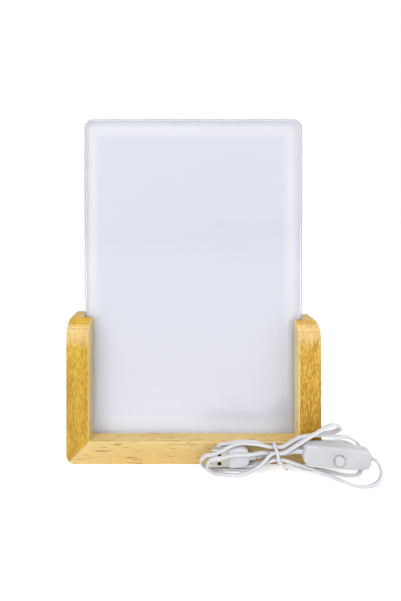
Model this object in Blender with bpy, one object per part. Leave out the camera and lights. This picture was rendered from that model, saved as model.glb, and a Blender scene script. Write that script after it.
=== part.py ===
"""Acrylic night light: a grooved beech frame, an edge-lit acrylic plate and a tied USB cord with a switch.

Lengths are in metres. +Z is up and the front of the lamp faces -Y.
"""

import math

import bmesh
import bpy
import numpy as np
from mathutils import Matrix, Vector

# Sizes of the frame
FRAME_DEPTH = 0.028
MEMBER_FACE = 0.016
LEFT_POST_HEIGHT = 0.101
RIGHT_POST_HEIGHT = 0.0987
FRONT_TOP_ROUND = 0.012
FOOT_ROUND = 0.0065
EASED_EDGE = 0.0008
SEAT_GAP = 0.0003
CUT_OVERRUN = 0.002

# Sizes of the plate and of the groove that holds it
PANEL_WIDTH = 0.160
PANEL_HEIGHT = 0.238
PANEL_THICKNESS = 0.005
PANEL_LAP = 0.006
PANEL_CORNER = 0.007
PANEL_ARRIS = 0.0004
PANEL_SET_BACK = 0.0108
FILM_THICKNESS = 0.0004
FILM_BOND = 0.0001
FILM_MARGIN = 0.0006
GROOVE_FLOOR = 0.008

# Sizes of the dowels in the mitres
DOWEL_RADIUS = 0.0025
DOWEL_LENGTH = 0.012
DOWEL_CHAMFER = 0.0005
DOWEL_INSET = 0.0055

# Sizes of the light strip in the rail
BOARD_FROM_END = 0.023
BOARD_WIDTH = 0.0050
BOARD_THICKNESS = 0.0010
BOARD_RECESS = 0.0042
LED_COUNT = 9
LED_MARGIN = 0.007
LED_LENGTH = 0.0035
LED_WIDTH = 0.0028
LED_HEIGHT = 0.0009
LED_DRAFT = 0.0003

# Sizes of the cord, a flat one drawn as the round tube that it fits in, and of its way into the lamp
CORD_DIAMETER = 0.0032
CORD_SOCKET = 0.0025
EXIT_FROM_END = 0.026
EXIT_HEIGHT = 0.0059
BORE_RADIUS = 0.0020
GROMMET_FLANGE_RADIUS = 0.0036
GROMMET_FLANGE = 0.0012
GROMMET_TAIL = 0.0050
GROMMET_TAIL_RADIUS = 0.0019
GROMMET_ROOT_RADIUS = 0.0023
GROMMET_SLEEVE = 0.0070
GROMMET_HOLE = 0.0013
WIRE_RADIUS = 0.00045
WIRE_PITCH = 0.0012
WIRE_INSERT = 0.0040

# Sizes of the inline switch
SWITCH_LENGTH = 0.0448
SWITCH_UPPER_HALF = 0.0067
SWITCH_LOWER_HALF = 0.0069
UPPER_BULGE = 0.0004
LOWER_BULGE = 0.0013
UPPER_CORNER = 0.0026
LOWER_CORNER = 0.0034
FRONT_SHELL_DEPTH = 0.0036
REAR_SHELL_DEPTH = 0.0061
REAR_END_DEPTH = 0.0037
SWITCH_EDGE = 0.0013
REAR_EDGE = 0.0022
EDGE_LIMIT_SHARE = 0.6
CORD_RISE = 0.0005
SWITCH_WALL = 0.0014
SWITCH_PLACE = (0.0947, -0.0261, 0.0147)
SWITCH_TILT = math.radians(5.4)

# Sizes of the push button and of the latch under it
BUTTON_RADIUS = 0.00315
BUTTON_PROUD = 0.0012
BUTTON_ROUND = 0.0005
BUTTON_FLANGE_RADIUS = 0.0040
BUTTON_FLANGE = 0.0008
BUTTON_STEM_RADIUS = 0.0012
BUTTON_TRAVEL = 0.0010
BUTTON_DROP = 0.0011
BUTTON_SHIFT = 0.0009
DISH_RADIUS = 0.0044
DISH_DEPTH = 0.0004
LATCH_SIZE = 0.0070
LATCH_DEPTH = 0.0030
LATCH_HOLE_DEPTH = 0.0022

# Sizes of the plug
GRIP_LENGTH = 0.0134
GRIP_WIDTH = 0.0128
GRIP_THICKNESS = 0.0058
GRIP_ROUND = 0.0014
GRIP_CHAMFER = 0.0005
GRIP_SHARES = ((0.04, 1, 1), (0.62, 1, 1), (0.86, 0.88, 0.94), (1, 0.62, 0.86))
GRIP_TAIL = 0.0048
GRIP_TAIL_RADIUS = 0.0022
ROUND_SHARE = 0.98
SHELL_LENGTH = 0.0118
SHELL_WIDTH = 0.0120
SHELL_THICKNESS = 0.0045
SHELL_WALL = 0.0003
SHELL_ROUND = 0.0007
SHELL_INSERT = 0.0050
TONGUE_THICKNESS = 0.0018
TONGUE_SET_IN = 0.0006
PLUG_PLACE = (0.0236, -0.02075, 0.0102)
PLUG_SLOPE = math.radians(1.5)

# Sizes of the tie
TIE_PLACE = (0.0560, -0.0212, 0.0129)
TIE_PITCH = 0.00415
TIE_LEAN = math.radians(-33.0)
TIE_RUN = 0.0040
SHORT_SHARE = 0.65
TIE_SLACK = 0.0005
TIE_THICKNESS = 0.0009
TIE_WIDTH = 0.0022
TIE_SLANT_SHARE = 0.2
TIE_TAIL = 0.0050
TIE_ARC_STEPS = 3
TWIST_START = (0.0008, -0.0063, -0.0021)
TWIST_WAY = (0.70, -0.30, -0.55)
TWIST_TURN = math.radians(230)
TWIST_STEPS = 9
TWIST_SIDES = 8

# How the cords are drawn
FOLD_SIZE = 0.0142
TURN_STEPS = 8
FINE_STEP = 0.0005
FLOOR_GAP = 0.00005
POINT_SPACING = 0.010
POINT_TURN = math.radians(24)
FILL_STEPS = 6
OWN_RUN = 0.0128

MILLIMETRE = 0.001
WELD_DISTANCE = 0.000001
ROUND_STEPS = 24
ARC_STEPS = 6
TOP_STEPS = 12
SHARP_ANGLE = math.radians(40)

for stale in list(bpy.data.objects):
    bpy.data.objects.remove(stale, do_unlink=True)


# The standard display curve: its straight foot, and the power above it
CURVE_FOOT = 0.04045
FOOT_SLOPE = 12.92
CURVE_OFFSET_SHARE = 0.055
CURVE_POWER = 2.4


def linear(red, green, blue):
    """The scene-linear colour of three display values from 0 to 255."""
    colour = []
    for tone in (red / 255, green / 255, blue / 255):
        if tone <= CURVE_FOOT:
            colour.append(tone / FOOT_SLOPE)
        else:
            colour.append(((tone + CURVE_OFFSET_SHARE) / (1 + CURVE_OFFSET_SHARE)) ** CURVE_POWER)
    return colour + [1]


def material(name, colour, roughness, metallic=0, transmission=0):
    made = bpy.data.materials.new(name)
    made.use_nodes = True
    shader = made.node_tree.nodes["Principled BSDF"]
    shader.inputs["Base Color"].default_value = linear(*colour)
    shader.inputs["Roughness"].default_value = roughness
    shader.inputs["Metallic"].default_value = metallic
    shader.inputs["Transmission Weight"].default_value = transmission
    made.diffuse_color = linear(*colour)
    return made


BEECH = material("beech", (222, 182, 100), 0.5)
DOWEL_WOOD = material("dowel_beech", (214, 180, 125), 0.6)
ACRYLIC = material("acrylic", (236, 240, 246), 0.05, transmission=0.9)
FILM = material("white_film", (238, 239, 242), 0.45)
BOARD = material("white_board", (240, 240, 236), 0.4)
LED = material("led_phosphor", (244, 226, 140), 0.3)
WHITE_PLASTIC = material("white_plastic", (226, 226, 230), 0.35)
CORD = material("white_pvc", (224, 225, 229), 0.4)
RED_WIRE = material("red_wire", (190, 40, 34), 0.4)
BLACK_WIRE = material("black_wire", (32, 32, 34), 0.4)
DARK_PLASTIC = material("dark_plastic", (44, 44, 48), 0.45)
PLATED_STEEL = material("plated_steel", (196, 190, 176), 0.25, metallic=1)


def finish(bm, name, look, crease=math.radians(35)):
    """Turns a bmesh into a named object, smooth but for its sharp edges."""
    bmesh.ops.remove_doubles(bm, verts=bm.verts, dist=WELD_DISTANCE)
    bmesh.ops.recalc_face_normals(bm, faces=bm.faces)
    mesh = bpy.data.meshes.new(name)
    bm.to_mesh(mesh)
    bm.free()
    mesh.materials.append(look)
    for face in mesh.polygons:
        face.use_smooth = True
    mesh.set_sharp_from_angle(angle=crease)
    made = bpy.data.objects.new(name, mesh)
    bpy.context.scene.collection.objects.link(made)
    return made


def rounded(corners, steps=ARC_STEPS):
    """The outline through the corners (x, z, radius), with an arc at each one that has a radius."""
    outline = []
    for index, (x, z, radius) in enumerate(corners):
        here = Vector((x, z))
        before = Vector(corners[index - 1][:2]) - here
        after = Vector(corners[(index + 1) % len(corners)][:2]) - here
        if not radius:
            outline.append(tuple(here))
            continue
        before.normalize()
        after.normalize()
        half = before.angle(after) / 2
        centre = here + (before + after).normalized() * radius / math.sin(half)
        first = here + before * radius / math.tan(half) - centre
        last = here + after * radius / math.tan(half) - centre
        sweep = first.angle_signed(last)
        for step in range(steps + 1):
            turn = Matrix.Rotation(-sweep * step / steps, 2)
            outline.append(tuple(centre + turn @ first))
    return outline


def plate(outline, front, back):
    """A bmesh of an (x, z) outline between two values of y."""
    bm = bmesh.new()
    face = bm.faces.new([bm.verts.new((x, front, z)) for x, z in outline])
    swept = bmesh.ops.extrude_face_region(bm, geom=[face])["geom"]
    moved = [item for item in swept if isinstance(item, bmesh.types.BMVert)]
    bmesh.ops.translate(bm, verts=moved, vec=(0, back - front, 0))
    bmesh.ops.recalc_face_normals(bm, faces=bm.faces)
    return bm


def loft(rings, closed=False):
    """A bmesh through rings of equal length, with a face at each end or closed into a loop."""
    bm = bmesh.new()
    rows = [[bm.verts.new(point) for point in ring] for ring in rings]
    for low, high in zip(rows, rows[1:] + rows[:1] if closed else rows[1:]):
        for k in range(len(low)):
            nearby = (k + 1) % len(low)
            bm.faces.new([low[k], low[nearby], high[nearby], high[k]])
    if not closed:
        bm.faces.new(rows[0][::-1])
        bm.faces.new(rows[-1])
    return bm


def block(low, high):
    """A bmesh of the box between two corners."""
    outline = [(low[0], low[2]), (high[0], low[2]), (high[0], high[2]), (low[0], high[2])]
    return plate(outline, low[1], high[1])


def turned(profile, place, axis, steps=ROUND_STEPS):
    """A bmesh of the (radius, along) profile turned about the axis through the place."""
    out = Vector(axis).normalized()
    side = out.orthogonal().normalized()
    up = out.cross(side)
    rings = []
    for radius, along in profile:
        ring = []
        for k in range(steps):
            angle = math.tau * k / steps
            around = side * math.cos(angle) + up * math.sin(angle)
            ring.append(Vector(place) + out * along + around * radius)
        rings.append(ring)
    return loft(rings)


def cut(target, bm, name):
    """Takes the shape in the bmesh away from the target."""
    tool = finish(bm, name, DARK_PLASTIC)
    tool.hide_render = True
    tool.display_type = "WIRE"
    knife = target.modifiers.new(name, "BOOLEAN")
    knife.operation = "DIFFERENCE"
    knife.solver = "EXACT"
    knife.object = tool
    return tool


def ease(bm, keep_off, width, segments=2):
    """Rounds every sharp edge, apart from those on the joint faces."""
    edges = []
    for edge in bm.edges:
        one, two = edge.verts
        sharp = edge.calc_face_angle(0) > SHARP_ANGLE
        if sharp and not keep_off((one.co + two.co) / 2):
            edges.append(edge)
    bmesh.ops.bevel(bm, geom=edges, offset=width, segments=segments, affect="EDGES", profile=0.5)


# Places that several pieces of the frame share
FRONT = -FRAME_DEPTH / 2
BACK = FRAME_DEPTH / 2
FRAME_WIDTH = PANEL_WIDTH + 2 * (MEMBER_FACE - PANEL_LAP)
OUTSIDE = FRAME_WIDTH / 2
INSIDE = OUTSIDE - MEMBER_FACE
PANEL_FRONT = FRONT + PANEL_SET_BACK
PANEL_BACK = PANEL_FRONT + PANEL_THICKNESS
FILM_FRONT = PANEL_BACK + FILM_BOND
FILM_BACK = FILM_FRONT + FILM_THICKNESS
PANEL_BOTTOM = GROOVE_FLOOR + SEAT_GAP
PANEL_TOP = PANEL_BOTTOM + PANEL_HEIGHT
MITRE = Vector((1, 0, 1)).normalized()
MITRE_SHIFT = SEAT_GAP / 2


def at_mitre(point):
    """True on the joint faces at either end of the rail."""
    off = abs(point.x) - INSIDE + point.z - MEMBER_FACE
    return abs(off) < SEAT_GAP


# The foot's corner arc is shared by post and rail, which part on its middle
ARC_CENTRE = (OUTSIDE - FOOT_ROUND, FOOT_ROUND)
ARC_TRIM = math.asin(MITRE_SHIFT / FOOT_ROUND)
JOINT_SHIFT = MITRE_SHIFT * math.sqrt(2)


def foot_arc(start, end):
    """Points of the right foot's corner between two angles."""
    points = []
    for step in range(ARC_STEPS + 1):
        angle = start + (end - start) * step / ARC_STEPS
        across = ARC_CENTRE[0] + FOOT_ROUND * math.cos(angle)
        points.append((across, ARC_CENTRE[1] + FOOT_ROUND * math.sin(angle)))
    return points


def front_top(bm, height):
    """The edge between the front and the top of a post."""
    found = []
    for edge in bm.edges:
        if all(vert.co.y < FRONT / 2 and vert.co.z > height - EASED_EDGE for vert in edge.verts):
            found.append(edge)
    return found


# The posts, each with its mitred foot and a top that is rounded over towards the front
POST_HEIGHTS = {"left_post": LEFT_POST_HEIGHT, "right_post": RIGHT_POST_HEIGHT}
posts = {}
for side, name in ((-1, "left_post"), (1, "right_post")):
    height = POST_HEIGHTS[name]
    post_outline = [(INSIDE, MEMBER_FACE + JOINT_SHIFT)]
    post_outline += foot_arc(ARC_TRIM - math.pi / 4, 0)
    post_outline += [(OUTSIDE, height), (INSIDE, height)]
    body = plate([(side * x, z) for x, z in post_outline], FRONT, BACK)
    over = front_top(body, height)
    bmesh.ops.bevel(body, geom=over, offset=FRONT_TOP_ROUND, segments=TOP_STEPS, affect="EDGES", profile=0.5)
    ease(body, at_mitre, EASED_EDGE)
    posts[name] = finish(body, name, BEECH)

# The rail, which ends in the same two mitres
half_rail = foot_arc(-math.pi / 2, -math.pi / 4 - ARC_TRIM) + [(INSIDE, MEMBER_FACE - JOINT_SHIFT)]
rail_outline = half_rail + [(-x, z) for x, z in half_rail[::-1]]
body = plate(rail_outline, FRONT, BACK)
ease(body, at_mitre, EASED_EDGE)
rail = finish(body, "bottom_rail", BEECH)

# One groove runs down both posts and along the rail
GROOVE_REACH = PANEL_WIDTH / 2 + SEAT_GAP
GROOVE_FRONT = PANEL_FRONT - SEAT_GAP
GROOVE_BACK = FILM_BACK + SEAT_GAP
for target in (*posts.values(), rail):
    low = (-GROOVE_REACH, GROOVE_FRONT, GROOVE_FLOOR)
    high = (GROOVE_REACH, GROOVE_BACK, max(POST_HEIGHTS.values()) + CUT_OVERRUN)
    cut(target, block(low, high), target.name + "_groove")

# The channel for the light strip lies under the plate
BOARD_LENGTH = FRAME_WIDTH - 2 * BOARD_FROM_END
BOARD_MIDDLE = (GROOVE_FRONT + GROOVE_BACK) / 2
BOARD_BOTTOM = GROOVE_FLOOR - BOARD_RECESS + SEAT_GAP
BOARD_TOP = BOARD_BOTTOM + BOARD_THICKNESS
channel_half = BOARD_LENGTH / 2 + SEAT_GAP
low = (-channel_half, BOARD_MIDDLE - BOARD_WIDTH / 2 - SEAT_GAP, GROOVE_FLOOR - BOARD_RECESS)
high = (channel_half, BOARD_MIDDLE + BOARD_WIDTH / 2 + SEAT_GAP, GROOVE_FLOOR + CUT_OVERRUN)
cut(rail, block(low, high), "light_channel")

# The bore takes the cord's grommet in from the rear
EXIT_X = OUTSIDE - EXIT_FROM_END
bore = turned([(BORE_RADIUS, 0), (BORE_RADIUS, BACK + CUT_OVERRUN - BOARD_MIDDLE)],
              (EXIT_X, BOARD_MIDDLE, EXIT_HEIGHT), (0, 1, 0))
cut(rail, bore, "cord_bore")

# Two dowels pin each mitre
MITRE_X = OUTSIDE - MEMBER_FACE / 2
MITRE_Z = MEMBER_FACE / 2
for side, side_name in ((-1, "left"), (1, "right")):
    for depth, depth_name in ((FRONT + DOWEL_INSET, "front"), (BACK - DOWEL_INSET, "rear")):
        along = (side * MITRE.x, 0, MITRE.z)
        middle = (side * MITRE_X, depth, MITRE_Z)
        half = DOWEL_LENGTH / 2
        tip = DOWEL_RADIUS - DOWEL_CHAMFER
        profile = [(tip, -half), (DOWEL_RADIUS, DOWEL_CHAMFER - half)]
        profile += [(DOWEL_RADIUS, half - DOWEL_CHAMFER), (tip, half)]
        name = side_name + "_" + depth_name + "_dowel"
        finish(turned(profile, middle, along, ROUND_STEPS // 2), name, DOWEL_WOOD)
        roomy = DOWEL_RADIUS + SEAT_GAP
        hole = [(roomy, -half - SEAT_GAP), (roomy, half + SEAT_GAP)]
        for target in (posts[side_name + "_post"], rail):
            tool = turned(hole, middle, along, ROUND_STEPS // 2)
            cut(target, tool, name + "_hole_" + target.name)



def upright(margin):
    """The plate's outline with its two round upper corners, drawn in by a margin."""
    across = PANEL_WIDTH / 2 - margin
    low = PANEL_BOTTOM + margin
    high = PANEL_TOP - margin
    corner = PANEL_CORNER - margin
    return rounded([(-across, low, 0), (across, low, 0), (across, high, corner), (-across, high, corner)])


# The acrylic plate and its white film stand in the groove
body = plate(upright(0), PANEL_FRONT, PANEL_BACK)
ease(body, lambda point: False, PANEL_ARRIS, 1)
panel = finish(body, "acrylic_panel", ACRYLIC, math.radians(20))
film = finish(plate(upright(FILM_MARGIN), FILM_FRONT, FILM_BACK), "backing_film", FILM)
film.parent = panel

# The light strip: a board with a row of LEDs on it
low = (-BOARD_LENGTH / 2, BOARD_MIDDLE - BOARD_WIDTH / 2, BOARD_BOTTOM)
high = (BOARD_LENGTH / 2, BOARD_MIDDLE + BOARD_WIDTH / 2, BOARD_TOP)
finish(block(low, high), "led_board", BOARD)


def led(middle):
    """One LED, drawn in a little towards its top."""
    rings = []
    for height, draft in ((0, 0), (LED_HEIGHT / 2, 0), (LED_HEIGHT, LED_DRAFT)):
        across = LED_LENGTH / 2 - draft
        deep = LED_WIDTH / 2 - draft
        z = BOARD_TOP + SEAT_GAP + height
        corners = ((-across, -deep), (across, -deep), (across, deep), (-across, deep))
        rings.append([(middle + x, BOARD_MIDDLE + y, z) for x, y in corners])
    return loft(rings)


LED_PITCH = (BOARD_LENGTH - 2 * LED_MARGIN) / (LED_COUNT - 1)
for index in range(LED_COUNT):
    middle = (index - (LED_COUNT - 1) / 2) * LED_PITCH
    finish(led(middle), "led_%02d" % (index + 1), LED)

# The grommet fills the bore, and its tail holds the cord
FLANGE_FRONT = BACK + SEAT_GAP
FLANGE_BACK = FLANGE_FRONT + GROMMET_FLANGE
TAIL_END = FLANGE_BACK + GROMMET_TAIL
sleeve_radius = BORE_RADIUS - SEAT_GAP
sleeve_front = FLANGE_FRONT - GROMMET_SLEEVE
hole_end = FLANGE_BACK
profile = [(GROMMET_HOLE, hole_end), (GROMMET_HOLE, sleeve_front), (sleeve_radius, sleeve_front)]
profile += [(sleeve_radius, FLANGE_FRONT), (GROMMET_FLANGE_RADIUS, FLANGE_FRONT)]
profile += [(GROMMET_FLANGE_RADIUS, FLANGE_BACK - SEAT_GAP), (GROMMET_FLANGE_RADIUS - SEAT_GAP, FLANGE_BACK)]
profile += [(GROMMET_ROOT_RADIUS, FLANGE_BACK), (GROMMET_TAIL_RADIUS, TAIL_END)]
finish(turned(profile, (EXIT_X, 0, EXIT_HEIGHT), (0, 1, 0)), "cord_grommet", WHITE_PLASTIC)

# Two feed wires run from the board into the grommet
WIRE_SIDES = 8
wire_height = BOARD_TOP + SEAT_GAP + WIRE_RADIUS
for side, name, look in ((-1, "feed_wire_red", RED_WIRE), (1, "feed_wire_black", BLACK_WIRE)):
    start = BOARD_MIDDLE + BOARD_WIDTH / 2 - WIRE_RADIUS * 2
    run = [(WIRE_RADIUS, start), (WIRE_RADIUS, sleeve_front + WIRE_INSERT)]
    place = (EXIT_X + side * WIRE_PITCH / 2, 0, wire_height)
    finish(turned(run, place, (0, 1, 0), WIRE_SIDES), name, look)

# The switch lies tilted in front of the right post
SWITCH = Matrix.Translation(SWITCH_PLACE) @ Matrix.Rotation(SWITCH_TILT, 4, "Y")
SWITCH_END = SWITCH_LENGTH / 2
END_STEPS = 6
MIDDLE_STEPS = 8
EDGE_STEPS = 4


def end_loss(x, radius):
    """How far a rounding of this radius draws an edge in near either end."""
    past = abs(x) - (SWITCH_END - radius)
    return radius - math.sqrt(max(radius ** 2 - past ** 2, 0)) if past > 0 else 0


def stations():
    """Places along the switch, close together where its ends round off."""
    level = SWITCH_END - LOWER_CORNER
    turns = [math.pi / 2 * step / END_STEPS for step in range(1, END_STEPS + 1)]
    ends = [level + LOWER_CORNER * math.sin(turn) for turn in turns]
    middle = [level * (2 * step / MIDDLE_STEPS - 1) for step in range(MIDDLE_STEPS + 1)]
    return [-x for x in ends[::-1]] + middle + ends


def shell_ring(x, side):
    """The outline of one housing half at one station, from the parting line round and back."""
    share = (x / SWITCH_END) ** 2
    top = SWITCH_UPPER_HALF - UPPER_BULGE * share - end_loss(x, UPPER_CORNER)
    bottom = LOWER_BULGE * share - SWITCH_LOWER_HALF + end_loss(x, LOWER_CORNER)
    edge = SWITCH_EDGE if side < 0 else REAR_EDGE
    deep = FRONT_SHELL_DEPTH
    if side > 0:
        arch = math.cos(math.pi * x / SWITCH_LENGTH)
        deep = REAR_END_DEPTH + (REAR_SHELL_DEPTH - REAR_END_DEPTH) * arch
    deep -= end_loss(x, SWITCH_EDGE)
    edge = min(edge, deep * EDGE_LIMIT_SHARE, (top - bottom) * EDGE_LIMIT_SHARE)
    parting = side * SEAT_GAP / 2
    ring = [(x, parting, bottom), (x, parting, top)]
    arc = [math.pi / 2 * step / EDGE_STEPS for step in range(EDGE_STEPS + 1)]
    flat = deep - edge
    ring += [(x, side * (flat + edge * math.sin(a)), top - edge + edge * math.cos(a)) for a in arc]
    ring += [(x, side * (flat + edge * math.cos(a)), bottom + edge - edge * math.sin(a)) for a in arc]
    return ring


def placed(bm, where):
    bmesh.ops.transform(bm, matrix=where, verts=bm.verts)
    return bm


shells = {}
for side, name in ((-1, "switch_front_shell"), (1, "switch_rear_shell")):
    body = loft([shell_ring(x, side) for x in stations()])
    shells[side] = finish(placed(body, SWITCH), name, WHITE_PLASTIC)

# The cord enters both ends of the housing through half-round sockets
CORD_RADIUS = CORD_DIAMETER / 2
for side, end_name in ((-1, "left"), (1, "right")):
    run = [(CORD_RADIUS + SEAT_GAP, -CORD_SOCKET), (CORD_RADIUS + SEAT_GAP, CUT_OVERRUN)]
    for shell in shells.values():
        tool = turned(run, (side * SWITCH_END, 0, CORD_RISE), (side, 0, 0), ROUND_STEPS // 2)
        cut(shell, placed(tool, SWITCH), shell.name + "_" + end_name + "_socket")

# The front half is hollow round the button's flange
FRONT_INSIDE = SWITCH_WALL - FRONT_SHELL_DEPTH
reach = SWITCH_END - LOWER_CORNER - SWITCH_WALL
upper = SWITCH_UPPER_HALF - UPPER_BULGE - SWITCH_WALL
lower = SWITCH_LOWER_HALF - LOWER_BULGE - SWITCH_WALL
hollow = block((-reach, FRONT_INSIDE, -lower), (reach, CUT_OVERRUN, upper))
cut(shells[-1], placed(hollow, SWITCH), "front_hollow")
BUTTON_PLACE = (BUTTON_SHIFT, 0, -BUTTON_DROP)
DEPTHWISE = (0, 1, 0)
flange_radius = BUTTON_FLANGE_RADIUS + SEAT_GAP
room = [(flange_radius, FRONT_INSIDE), (flange_radius, CUT_OVERRUN)]
cut(shells[-1], placed(turned(room, BUTTON_PLACE, DEPTHWISE), SWITCH), "flange_room")

# A shallow dish and a round hole take the button
dish = [(DISH_RADIUS, -FRONT_SHELL_DEPTH - CUT_OVERRUN), (DISH_RADIUS, DISH_DEPTH - FRONT_SHELL_DEPTH)]
cut(shells[-1], placed(turned(dish, BUTTON_PLACE, DEPTHWISE), SWITCH), "button_dish")
hole_radius = BUTTON_RADIUS + SEAT_GAP
hole = [(hole_radius, -FRONT_SHELL_DEPTH - CUT_OVERRUN), (hole_radius, FRONT_INSIDE + CUT_OVERRUN)]
cut(shells[-1], placed(turned(hole, BUTTON_PLACE, DEPTHWISE), SWITCH), "button_hole")

# The rear half has a pocket that fits the latch unit
half = LATCH_SIZE / 2
roomy = half + SEAT_GAP
pocket_back = REAR_SHELL_DEPTH - SWITCH_WALL
low = (BUTTON_SHIFT - roomy, -CUT_OVERRUN, -BUTTON_DROP - roomy)
high = (BUTTON_SHIFT + roomy, pocket_back, roomy - BUTTON_DROP)
cut(shells[1], placed(block(low, high), SWITCH), "latch_pocket")
latch_back = pocket_back - SEAT_GAP
latch_front = latch_back - LATCH_DEPTH
low = (BUTTON_SHIFT - half, latch_front, -BUTTON_DROP - half)
high = (BUTTON_SHIFT + half, latch_back, half - BUTTON_DROP)
latch = finish(placed(block(low, high), SWITCH), "latch_switch", DARK_PLASTIC)
hole_radius = BUTTON_STEM_RADIUS + SEAT_GAP
hole = [(hole_radius, latch_front - CUT_OVERRUN), (hole_radius, latch_front + LATCH_HOLE_DEPTH)]
cut(latch, placed(turned(hole, BUTTON_PLACE, DEPTHWISE, ROUND_STEPS // 2), SWITCH), "latch_hole")

# The button stands proud of the dish, and its flange keeps it in
face = -FRONT_SHELL_DEPTH - BUTTON_PROUD
flange_front = FRONT_INSIDE + SEAT_GAP
flange_back = flange_front + BUTTON_FLANGE
stem_end = latch_front + LATCH_HOLE_DEPTH - BUTTON_TRAVEL - SEAT_GAP
part_way = BUTTON_ROUND * (1 - math.cos(math.pi / 4))
profile = [(BUTTON_RADIUS - BUTTON_ROUND, face), (BUTTON_RADIUS - part_way, face + part_way)]
profile += [(BUTTON_RADIUS, face + BUTTON_ROUND), (BUTTON_RADIUS, flange_front)]
profile += [(BUTTON_FLANGE_RADIUS, flange_front), (BUTTON_FLANGE_RADIUS, flange_back)]
profile += [(BUTTON_STEM_RADIUS, flange_back), (BUTTON_STEM_RADIUS, stem_end)]
finish(placed(turned(profile, BUTTON_PLACE, DEPTHWISE), SWITCH), "push_button", WHITE_PLASTIC)

# The plug stands on its edge in the hank, its mouth to the left
PLUG = Matrix.Translation(PLUG_PLACE) @ Matrix.Rotation(-PLUG_SLOPE, 4, "Y")
CORNER_STEPS = 3


def plug_ring(along, width, thickness, corner):
    """A rounded outline square to the plug, at one place along it."""
    across = thickness / 2
    tall = width / 2
    signs = ((-1, -1), (1, -1), (1, 1), (-1, 1))
    corners = [(one * across, two * tall, corner) for one, two in signs]
    return [(along, y, z) for y, z in rounded(corners, CORNER_STEPS)]


# The grip tapers into a round tail for the cord
face_width = GRIP_WIDTH - 2 * GRIP_CHAMFER
face_thickness = GRIP_THICKNESS - 2 * GRIP_CHAMFER
rings = [plug_ring(0, face_width, face_thickness, GRIP_ROUND - GRIP_CHAMFER)]
for share_along, share_width, share_thickness in GRIP_SHARES:
    width = GRIP_WIDTH * share_width
    thickness = GRIP_THICKNESS * share_thickness
    rings.append(plug_ring(GRIP_LENGTH * share_along, width, thickness, GRIP_ROUND))
tail_width = GRIP_TAIL_RADIUS * 2
rings.append(plug_ring(GRIP_LENGTH + GRIP_CHAMFER, tail_width, tail_width, GRIP_TAIL_RADIUS * ROUND_SHARE))
PLUG_TAIL_END = GRIP_LENGTH + GRIP_TAIL
tail_width = CORD_DIAMETER + 2 * GRIP_CHAMFER
rings.append(plug_ring(PLUG_TAIL_END, tail_width, tail_width, tail_width / 2 * ROUND_SHARE))
grip = finish(placed(loft(rings), PLUG), "usb_plug_grip", WHITE_PLASTIC)
shell_back = SHELL_INSERT
socket_width = SHELL_WIDTH + 2 * SEAT_GAP
socket_thickness = SHELL_THICKNESS + 2 * SEAT_GAP
socket_round = SHELL_ROUND + SEAT_GAP
tool = loft([
    plug_ring(-CUT_OVERRUN, socket_width, socket_thickness, socket_round),
    plug_ring(shell_back + SEAT_GAP, socket_width, socket_thickness, socket_round),
])
cut(grip, placed(tool, PLUG), "shell_socket")

# The metal shell is a thin tube, and the contact tongue stands in it
inner_width = SHELL_WIDTH - 2 * SHELL_WALL
inner_thickness = SHELL_THICKNESS - 2 * SHELL_WALL
inner_round = SHELL_ROUND - SHELL_WALL
mouth = -SHELL_LENGTH
rings = [
    plug_ring(shell_back, SHELL_WIDTH, SHELL_THICKNESS, SHELL_ROUND),
    plug_ring(mouth, SHELL_WIDTH, SHELL_THICKNESS, SHELL_ROUND),
    plug_ring(mouth, inner_width, inner_thickness, inner_round),
    plug_ring(shell_back, inner_width, inner_thickness, inner_round),
]
finish(placed(loft(rings, closed=True), PLUG), "usb_plug_shell", PLATED_STEEL)
tongue_back = inner_thickness / 2 - SEAT_GAP
low = (mouth + TONGUE_SET_IN, tongue_back - TONGUE_THICKNESS, SEAT_GAP - inner_width / 2)
high = (shell_back, tongue_back, inner_width / 2 - SEAT_GAP)
finish(placed(block(low, high), PLUG), "usb_plug_tongue", DARK_PLASTIC)

# Six strands lie round a seventh where the tie holds the hank
SLOT_NAMES = ("back", "top_back", "top_front", "front", "low_front", "low_back")


def slot(name):
    """The height and depth of a strand's place in the tie."""
    if name == "centre":
        return TIE_PLACE[1], TIE_PLACE[2]
    angle = TIE_LEAN + math.tau * SLOT_NAMES.index(name) / len(SLOT_NAMES)
    return TIE_PLACE[1] + TIE_PITCH * math.cos(angle), TIE_PLACE[2] + TIE_PITCH * math.sin(angle)


def through(name, heading, half=TIE_RUN):
    """Points of a strand that runs level through the tie, towards +X or -X."""
    y, z = slot(name)
    return [Vector((TIE_PLACE[0] + heading * along, y, z)) for along in (-half, 0, half)]


def half_turn(start, end, side):
    """Points on the half circle from start to end that bulges towards +X or -X."""
    middle = (start + end) / 2
    radius = (end - start).length / 2
    points = []
    for step in range(TURN_STEPS + 1):
        angle = math.pi * step / TURN_STEPS
        out = Vector((side * radius * math.sin(angle), 0, 0))
        points.append(middle + (start - middle) * math.cos(angle) + out)
    return points


def mm(*places):
    """Route points that are written in millimetres."""
    return [Vector(place) * MILLIMETRE for place in places]


def left_fold(tip, depth, height, lean):
    """A fold at the left end of the hank, from its upper strand to its foot, placed in millimetres."""
    low = Vector((tip, depth, height)) * MILLIMETRE + Vector((FOLD_SIZE / 2, 0, 0))
    high = low + Vector((0, -math.sin(lean), math.cos(lean))) * FOLD_SIZE
    return half_turn(high, low, -1)


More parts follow.
